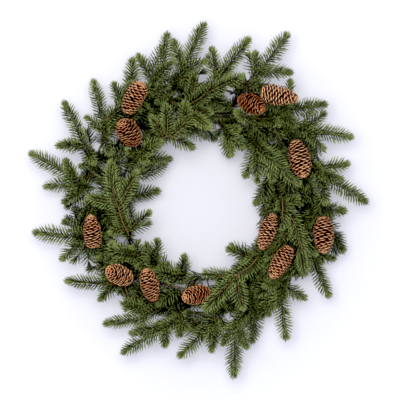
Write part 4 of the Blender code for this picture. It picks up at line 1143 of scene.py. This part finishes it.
front_twigs = fill(np.vstack([ring_tips(FILL_CIRCLES, FILL_LEVELS), nest_tips()]))
front_twigs += fill(np.array([tip for _, tip in EDGE_TWIGS], float), [root for root, _ in EDGE_TWIGS])
deep_twigs = fill(np.vstack([ring_tips(DEEP_CIRCLES, DEEP_LEVELS), cone_tips()]))
print("Filling twigs:", len(front_twigs), "in front and", len(deep_twigs), "deep in the ring")

# %% [markdown]
# ## The sprays
#
# A spray is its twigs and all its needles in one mesh of two materials. Every shoot gets its own
# small roll about its stem, drawn from a seeded stream, so that no two catch the light alike. A
# few shoots near the front are young and yellower, most of all at their ends, which is partly a
# painted highlight. Six sprays at the very front lack the rows on top of the stem, so theirs shows
# as a brown line.

# %% Build the sprays
# Young shoots and how young: their yellow is partly a painted highlight on the shoot ends.
YOUNG_SHOOTS = {("spray_inner_top_left", 0): 0.55, ("spray_right_shoulder", 3): 0.5,
                ("spray_inner_left", 0): 0.3, ("spray_inner_left", 2): 0.3,
                ("spray_inner_left", 3): 0.3, ("spray_inner_left", 4): 0.3,
                ("spray_inner_low_left", 0): 0.35, ("spray_bottom_front", 0): 0.25,
                ("spray_bottom_front", 2): 0.3}
MAIN_START, SHOOT_START, TWIG_START = 12.0, 3.0, 3.0
BARE_START = 54.0
# Sprays at the very front whose stems show as a brown line, because their top rows are missing.
OPEN_SPRAYS = ("spray_bottom_front", "spray_right_front", "spray_inner_top_left", "spray_inner_left",
               "spray_low_left", "spray_top_middle")
FULL_FAN, BACK_FAN = 24, 11
# The twigs' radii in mm, at the root and at the tip, and how far a comb rolls about its stem.
MAIN_WOOD, SHOOT_WOOD, TWIG_WOOD = (1.7, 0.65), (1.25, 0.65), (1.1, 0.7)
SHOOT_ROLL, TWIG_ROLL = 0.25, 0.35
# A twig has a ring about every so many mm. Shoots that aren't young still vary up to this youth.
TWIG_STEP = 4
OLD_YOUTH = 0.1


def twig(path, thick, thin):
    """A tapering twig whose radius wavers a little, as bark over leaf scars does."""
    count = max(4, int(run_of(path)[-1] / TWIG_STEP))
    line = at(path, np.linspace(0, run_of(path)[-1], count))
    radii = np.linspace(thick, thin, count) * rng.uniform(0.92, 1.08, count)
    return tube(line, radii, 6, (0.0, 0.5, 0.0), slot=1)


triangles = 0
for name, paths in stems.items():
    shapes = []
    for order, path in enumerate(paths):
        shapes.append(twig(path, *(SHOOT_WOOD if order else MAIN_WOOD)))
        youth = YOUNG_SHOOTS.get((name, order), OLD_YOUTH * rng.random())
        start = SHOOT_START if order else BARE_START if name == BARE_STEM else MAIN_START
        rows = OPEN_ROWS if name in OPEN_SPRAYS else FULL_ROWS
        shapes.append(needles_along(path, start, rng.normal(0, SHOOT_ROLL), youth, rows, FULL_FAN))
    for rows, laid in ((BACK_ROWS, front_twigs), (DEEP_ROWS, deep_twigs)):
        for path in (path for owner, path in laid if owner == name):
            shapes.append(twig(path, *TWIG_WOOD))
            shapes.append(needles_along(path, TWIG_START, rng.normal(0, TWIG_ROLL), 0.0, rows, BACK_FAN,
                                        filling=True))
    triangles += make_piece(name + "_fine", shapes, [needle_material, twig_material], name)
print("Sprays:", len(stems), "pieces,", triangles, "triangles")

# %% [markdown]
# ## One cone scale
#
# A scale is a thin wooden spoon, narrow where it grows from the core and rounded at its lip. It is
# a grid of two parameters, one out from the core and one across, which is doubled into a top and an
# underside and closed round its rim. A copied mesh would do as well, but a grid worked out at once
# for all scales bends each by its own numbers. It is coarse, because each cone has many scales.

# %% Grid of a scale
SCALE_REACHES = np.array([0.0, 0.5, 0.86, 1.0])
SCALE_WIDTHS = np.array([0.3, 0.8, 1.0, 0.72])
SCALE_COLUMNS = 5


def scale_grid():
    """u runs out along the scale and v across it, on a grid, with the half width at each u."""
    u, v = np.meshgrid(SCALE_REACHES, np.linspace(-1, 1, SCALE_COLUMNS), indexing="ij")
    half_width = np.interp(u, SCALE_REACHES, SCALE_WIDTHS)
    return u, v, half_width


def grid_faces(rows, columns):
    """Quads of a thin closed plate: its top, its underside and the rim that joins them."""
    number = np.arange(rows * columns).reshape(rows, columns)
    top = np.stack([number[:-1, :-1], number[1:, :-1], number[1:, 1:], number[:-1, 1:]], -1).reshape(-1, 4)
    under = top[:, ::-1] + rows * columns
    rim = np.concatenate([number[0, :-1], number[:-1, -1], number[-1, :0:-1], number[:0:-1, 0]])
    following = np.roll(rim, -1)
    walls = np.column_stack([rim, following, following + rows * columns, rim + rows * columns])
    return np.vstack([top, under, walls])


SCALE_FACES = grid_faces(len(SCALE_REACHES), SCALE_COLUMNS)
print("Faces of a scale:", len(SCALE_FACES))

# %% [markdown]
# ## The form of each cone
#
# No two cones are alike. Some are egg-shaped, some taper to a point and some end bluntly, and old
# ones are paler. A drawn curve for each would take a long table. A sine's power lets a cone swell
# from its base, and one minus a power closes its tip, so two numbers and the widest place draw
# every form.

# %% Outlines of the cones
# Each cone's tone, from red brown, 0, to a weathered golden tan, 1. Then its form: its length and
# its width against the CAD cone's, where along it is widest, how it swells from its base, where
# a lower number is blunter, and how blunt its tip is.
CONE_LOOKS = {"top_left": (0.4, 1.18, 0.93, 0.58, 0.38, 3.2), "left_top": (0.35, 1.02, 1.04, 0.5, 0.38, 2.6),
              "left": (0.45, 1.0, 0.92, 0.32, 0.3, 1.9), "low_left": (0.55, 0.94, 0.93, 0.45, 0.4, 2.3),
              "low": (0.4, 1.0, 0.92, 0.48, 0.48, 2.4), "bottom": (0.35, 0.97, 1.02, 0.42, 0.42, 2.2),
              "low_right": (0.5, 1.0, 0.9, 0.42, 0.36, 2.3), "right_inner": (0.6, 1.04, 1.0, 0.45, 0.6, 1.8),
              "right": (0.5, 1.0, 0.99, 0.42, 0.48, 1.9), "right_upper": (0.6, 1.02, 1.03, 0.55, 0.48, 2.0),
              "top_right": (0.75, 1.06, 0.98, 0.36, 0.42, 1.5),
              "top_right_inner": (0.15, 0.97, 0.97, 0.45, 0.4, 2.3)}
BASE_WIDTH, TIP_CLOSING = 0.12, 0.99
CORE_END, CORE_WIDTH, CORE_SIDES = 0.86, 0.35, 12


def drawn_ends(row, form):
    """The ends of a cone that is this much longer than the CAD cone, about the same middle."""
    base, tip = cone_ends(row)
    middle = (base + tip) / 2
    return middle + (base - middle) * form[0], middle + (tip - middle) * form[0]


def cone_outline(share, row, form):
    """Half the width over the lips: a sine's power up from the base, 1 - share ** blunt to the tip."""
    _, slim, widest, swelling, blunt = form
    rising = np.clip(share / widest, 0, 1)
    falling = np.clip((share - widest) / (1 - widest), 0, 1)
    swell = BASE_WIDTH + (1 - BASE_WIDTH) * np.sin(rising * math.pi / 2) ** swelling
    return slim * row[4] / 2 * swell * np.sqrt(1 - TIP_CLOSING * falling**blunt)


def cone_core(row, form):
    """The core that the scales grow from: a dark spindle a third as wide as the cone, painted near black as
    shade.
    """
    base, tip = drawn_ends(row, form)
    shares = np.linspace(0, CORE_END, CORE_SIDES)
    radii = cone_outline(shares, row, form) * CORE_WIDTH
    return tube(base + (tip - base) * shares[:, None], radii, CORE_SIDES, (0.15, 0.4, 0.0))


drawn = [math.dist(*drawn_ends(row, CONE_LOOKS[name][1:])) for name, row in CONES.items()]
print("Lengths of the cones in mm:", [round(length) for length in drawn])

# %% [markdown]
# ## Cones, scale by scale
#
# A cone's scales grow along a spiral by the golden angle, and that alone makes the crossing rows
# that the eye sees. Each leaves the core, leans towards the cone's tip and ends in a thick rounded
# lip. The scales are shared out evenly over the cone's surface, with some more at each end. Without
# those the cone would be open there and show its dark core, seen from the side.

# %% Scales of the cones
SCALES_PER_CONE = 146
SCALE_THICK = 0.95
# Before the first share of the length and past the second, these weights bring in extra scales.
BASE_END, TIP_START = 0.055, 0.94
BASE_EXTRA, TIP_EXTRA = 24, 12
# The first scales lie flat over the base and close it. They are this brown.
BASAL_END, BASAL_TONE = 0.08, 0.92
FOOT_OUT = 0.22
LIP_FROM = 0.86


def scale_places(row, form):
    """Feet, lips, sideways directions and half widths of all scales, and how basal each is.

    The lips share out the surface evenly, radius * slant for each step along the cone, with more at
    the base and the tip. Each is turned by the golden angle from the one before:
    lip = base + share * length * axis + outline * (cos(turn) * across + sin(turn) * above).
    """
    base, tip = drawn_ends(row, form)
    length = np.linalg.norm(tip - base)
    axis = unit(tip - base)
    across = unit(np.cross(axis, (0.0, 0.0, 1.0)))
    above = np.cross(across, axis)
    count = SCALES_PER_CONE
    fine = np.linspace(0.02, 1.0, 400)
    profile = cone_outline(fine, row, form)
    slant = np.hypot(1, np.gradient(profile, fine * length))
    extra = BASE_EXTRA * (fine < BASE_END) + TIP_EXTRA * (fine > TIP_START)
    area = np.cumsum((profile + 1.5) * slant + extra)
    k = np.arange(count)
    share = np.interp((k + 0.5) / count, area / area[-1], fine)
    share = np.clip(share + rng.normal(0, 0.004, count), 0, 1)
    turn = k * GOLDEN + rng.uniform(0, 6.28) + rng.normal(0, 0.06, count)
    radial = across * np.cos(turn)[:, None] + above * np.sin(turn)[:, None]
    outline = cone_outline(share, row, form) * rng.uniform(0.92, 1.05, count)
    basal = np.clip(1 - share / BASAL_END, 0, 1)
    back = (0.03 + 0.17 * share**2) * (1 - basal)
    lips = base + (share * length)[:, None] * axis + outline[:, None] * radial
    feet = base + ((share - back) * length)[:, None] * axis + FOOT_OUT * outline[:, None] * radial
    spacing = math.sqrt(2 * math.pi * profile.mean() * length / count)
    half = np.minimum(0.84 * spacing, 0.75 * outline + 1.2) * rng.uniform(0.85, 1.1, count)
    return feet, lips, np.cross(axis, radial), half, basal


def cone_shape(row, tone, form):
    """All scales of a cone: foot + outward * reach(u, v) + beside * side(v) + facing * lift(u, v).

    The lift bends a scale up towards its lip and hollows it across, and a small twist tilts it.
    """
    feet, lips, beside, half, basal = scale_places(row, form)
    count = SCALES_PER_CONE
    outward = unit(lips - feet)
    facing = unit(np.cross(outward, beside))
    size = np.linalg.norm(lips - feet, axis=1)
    twist = rng.normal(0, 0.08, count)
    u, v, half_width = scale_grid()
    side = (v * half_width)[None] * half[:, None, None]
    edge = np.where(u == 1.0, -0.10 * v**2, 0.0)
    reach = (u + edge)[None] * size[:, None, None]
    lift = (1.1 * u**3)[None] - 0.10 * side**2 / half[:, None, None] + twist[:, None, None] * side
    middle = (feet[:, None, None] + outward[:, None, None] * reach[..., None]
              + beside[:, None, None] * side[..., None] + facing[:, None, None] * lift[..., None])
    thick = SCALE_THICK * (0.4 + 0.6 * u) * np.where(np.abs(v) > 0.9, 0.6, 1.0)
    offset = facing[:, None, None] * (thick / 2)[None, ..., None]
    points = np.stack([middle + offset, middle - offset], axis=1).reshape(count, -1, 3)
    faces = SCALE_FACES + points.shape[1] * np.arange(count)[:, None, None]
    odd = np.clip(rng.normal(tone, 0.2, count), 0, 1)
    lip = np.clip((u - LIP_FROM) / (1 - LIP_FROM), 0, 1) * (0.75 + 0.25 * (1 - v**2))
    # The first channel is low towards the core, which the material paints near black, partly darker wood and
    # partly painted shade.
    colour = np.stack([np.maximum(u, np.where(basal > 0, BASAL_TONE, 0)[:, None, None]),
                       np.broadcast_to(odd[:, None, None], (count, *u.shape)),
                       np.broadcast_to(lip, (count, *u.shape))], axis=-1)
    colours = np.stack([colour, colour], axis=1).reshape(-1, 3)
    return {"points": points.reshape(-1, 3), "faces": faces.reshape(-1, 4), "colours": colours}


triangles = 0
for name, row in CONES.items():
    tone, *form = CONE_LOOKS[name]
    triangles += make_piece(f"cone_{name}_fine", [cone_shape(row, tone, form), cone_core(row, form)],
                            [cone_material], f"cone_{name}")
print("Cones:", len(CONES), "pieces,", triangles, "triangles")

# %% [markdown]
# ## The bristle wire
#
# Chenille is made by trapping short film bristles between two wires and twisting them. From the
# side it is a bottle brush. Thousands of thin three-sided spikes leave the path in every
# direction, each direction worked out from a random angle round the path.

# %% Bristles
BRISTLES = 11000
BRISTLE_LENGTH = 6.2
BRISTLE_WIDTH = 0.34
BRISTLE_LEAN = 0.22
BRISTLE_FLOOR = 0.4
CORE_WIRE_RADIUS = 0.8
SPIKE_FACES = np.array([[0, 1, 3, -1], [1, 2, 3, -1], [2, 0, 3, -1], [2, 1, 0, -1]])


def bristle_shape(path):
    """Spikes at random places and angles round the path, leaning along it by a random amount."""
    looped = np.vstack([path, path[:1]])
    stations = np.sort(rng.uniform(0, run_of(looped)[-1], BRISTLES))
    roots = at(looped, stations)
    tangent = unit(at(looped, stations + 1) - at(looped, stations - 1))
    outward = unit(roots * (1, 1, 0))
    first = unit(np.cross(tangent, outward + (0, 0, 0.3)))
    second = np.cross(tangent, first)
    turn = rng.uniform(0, 2 * math.pi, BRISTLES)[:, None]
    spread = np.cos(turn) * first + np.sin(turn) * second
    direction = unit(spread + rng.normal(0, BRISTLE_LEAN, (BRISTLES, 1)) * tangent)
    size = BRISTLE_LENGTH * rng.uniform(0.75, 1.1, BRISTLES)
    tips = roots + direction * size[:, None]
    keep = tips[:, 2] > BRISTLE_FLOOR
    roots, direction, tangent, tips = roots[keep], direction[keep], tangent[keep], tips[keep]
    flat = unit(np.cross(direction, tangent))
    other = np.cross(direction, flat)
    angles = np.arange(3) * 2 * math.pi / 3
    ring = (flat[:, None] * np.cos(angles)[:, None] + other[:, None] * np.sin(angles)[:, None])
    points = np.concatenate([roots[:, None] + ring * BRISTLE_WIDTH / 2, tips[:, None]], axis=1)
    count = len(points)
    faces = np.where(SPIKE_FACES < 0, -1, SPIKE_FACES + 4 * np.arange(count)[:, None, None])
    shade = np.repeat(rng.random(count), 4)
    return {"points": points.reshape(-1, 3), "faces": faces.reshape(-1, 4),
            "colours": np.column_stack([shade, shade, shade])}


fine_winding = at(np.vstack([winding, winding[:1]]), np.linspace(0, run_of(winding)[-1], 600, endpoint=False))
radial_out = unit(fine_winding * (1, 1, 0))
core_wire = tube(fine_winding, CORE_WIRE_RADIUS, 6, (0.2, 0.2, 0.2), closed=True, steady=radial_out)
triangles = make_piece("bristle_winding_fine",
                       [core_wire, bristle_shape(winding)], [bristle_material],
                       "bristle_winding")
print("Bristle wire:", triangles, "triangles")

# %% [markdown]
# ## Wires
#
# The frame's hoops, its ties and the cones' wires are plain drawn steel, so plain round tubes are
# true to them. The welds at the ties' ends are small beads in reality and are left out.

# %% Frame and cone wires
# A round wire of this radius has the section of the CAD's five-sided one. The outer hoop rises by
# the little that makes it touch the floor and not sink in.
ROUND_RADIUS = 1.9
OUTER_RISE = ROUND_RADIUS - HOOPS["outer"][1]
HOOP_STEPS = 160
hoops = [tube(hoop_path("outer", HOOP_STEPS) + (0, 0, OUTER_RISE), ROUND_RADIUS, 12, (0, 0, 0), closed=True),
         tube(hoop_path("inner", HOOP_STEPS), ROUND_RADIUS, 12, (0, 0, 0), closed=True)]
ties = [tube(np.linspace(on_hoop("outer", angle, 0, 0), on_hoop("inner", angle, 0, 0), 4), TIE_RADIUS, 10,
             (0, 0, 0), steady=np.array([0.0, 0.0, 1.0])) for angle in TIE_ANGLES]
triangles = make_piece("wire_frame_round", hoops + ties, [wire_material], "wire_frame")
for name, row in CONES.items():
    path = smooth(cone_wire_path(row), 5)
    triangles += make_piece(f"cone_wire_{name}_round", [tube(path, CONE_WIRE_RADIUS, 8, (0, 0, 0))],
                            [wire_material], f"cone_wire_{name}")
print("Wires:", 1 + len(CONES), "pieces,", triangles, "triangles")

# %% [markdown]
# ## The paper
#
# The wreath lies on white paper. The paper glows faintly, a painted light that keeps it pale in the
# gaps between the sprays, where they hide most of the light. Without that the gaps would look as
# dark as soil, and more lamps would bleach the needles. The floor lies a hair below the wires, so
# that the two never share a plane.

# %% Paper floor
FLOOR_HALF, FLOOR_DROP = 6.0, 0.0002
# Painted light: the paper's own faint glow, which lifts the shade in the gaps.
PAPER_PAINTED_GLOW = 0.17

floor_mesh = bpy.data.meshes.new("paper_floor")
floor_corners = [(x * FLOOR_HALF, y * FLOOR_HALF, -FLOOR_DROP)
                 for x, y in ((-1, -1), (1, -1), (1, 1), (-1, 1))]
floor_mesh.from_pydata(floor_corners, [], [(0, 1, 2, 3)])
paper, tree = new_material("white_paper_floor")
skin = add(tree, "ShaderNodeBsdfPrincipled", {"Base Color": linear("#d8d9e3"), "Roughness": 0.9,
                                              "Emission Color": linear("#eeeeff"),
                                              "Emission Strength": PAPER_PAINTED_GLOW})
add(tree, "ShaderNodeOutputMaterial", {"Surface": skin.outputs["BSDF"]})
floor_mesh.materials.append(paper)
floor = bpy.data.objects.new("paper_floor", floor_mesh)
bpy.context.scene.collection.objects.link(floor)
print("Paper:", 2 * FLOOR_HALF, "m wide")

# %% [markdown]
# ## The light
#
# One large soft light stands above, and a tent of light all round. The tent is a little bluer than
# the key, so the paper goes a soft blue grey where the sprays hide part of it. The tent is bright
# at its sides and dim overhead, where the camera looks in, and that models the round forms of the
# cones. A lamp like the sun would be simpler, but each needle would throw a hard shadow.

# %% Tent and softbox
TENT_SIDES, TENT_TOP = 1.85, 0.35

world = bpy.data.worlds.new("studio")
world.use_nodes = True
sky = world.node_tree
direction = add(sky, "ShaderNodeTexCoord")
height = add(sky, "ShaderNodeSeparateXYZ", {0: direction.outputs["Generated"]})
tent = add(sky, "ShaderNodeMapRange", {"Value": height.outputs["Z"], "From Min": 0.25, "From Max": 0.75,
                                       "To Min": TENT_SIDES, "To Max": TENT_TOP},
           interpolation_type="SMOOTHSTEP")
sky.links.new(tent.outputs[0], sky.nodes["Background"].inputs["Strength"])
sky.nodes["Background"].inputs["Color"].default_value = (0.9, 0.92, 1.0, 1)
bpy.context.scene.world = world


def softbox(name, place, size, watts, colour):
    """A round soft light that faces the middle of the wreath."""
    light = bpy.data.lights.new(name, "AREA")
    light.shape = "DISK"
    light.size = size
    light.energy = watts
    light.color = colour
    lamp = bpy.data.objects.new(name, light)
    lamp.location = place
    lamp.rotation_mode = "QUATERNION"
    lamp.rotation_quaternion = lamp.location.to_track_quat("Z", "Y")
    bpy.context.scene.collection.objects.link(lamp)


softbox("key", (-0.25, 0.4, 2.1), 2.0, 40, (1.0, 0.97, 0.9))
print("Light: one softbox and a tent round the wreath")

# %% [markdown]
# ## The camera
#
# The camera looks straight down from far away through a long lens, as a catalogue photograph is
# taken. A nearer camera would show the cones and shoots at the edge from the side. A small black
# level makes the deepest shade between the needles black.

# %% Camera
FRAME_WIDTH = 690 * MM
CAMERA_HEIGHT = 4.0
SUBJECT_HEIGHT = 40 * MM

camera = bpy.data.cameras.new("camera")
camera.sensor_width = 36
camera.lens = camera.sensor_width * CAMERA_HEIGHT / FRAME_WIDTH
camera.clip_end = 50
camera_object = bpy.data.objects.new("camera", camera)
camera_object.location = (MIDDLE[0], MIDDLE[1], SUBJECT_HEIGHT + CAMERA_HEIGHT)
bpy.context.scene.collection.objects.link(camera_object)
bpy.context.scene.camera = camera_object
look = bpy.context.scene.view_settings
look.view_transform = "Standard"
look.use_curve_mapping = True
look.curve_mapping.black_level = (0.018, 0.019, 0.014)
look.curve_mapping.update()
print("Lens:", round(camera.lens), "mm, at", CAMERA_HEIGHT, "m")
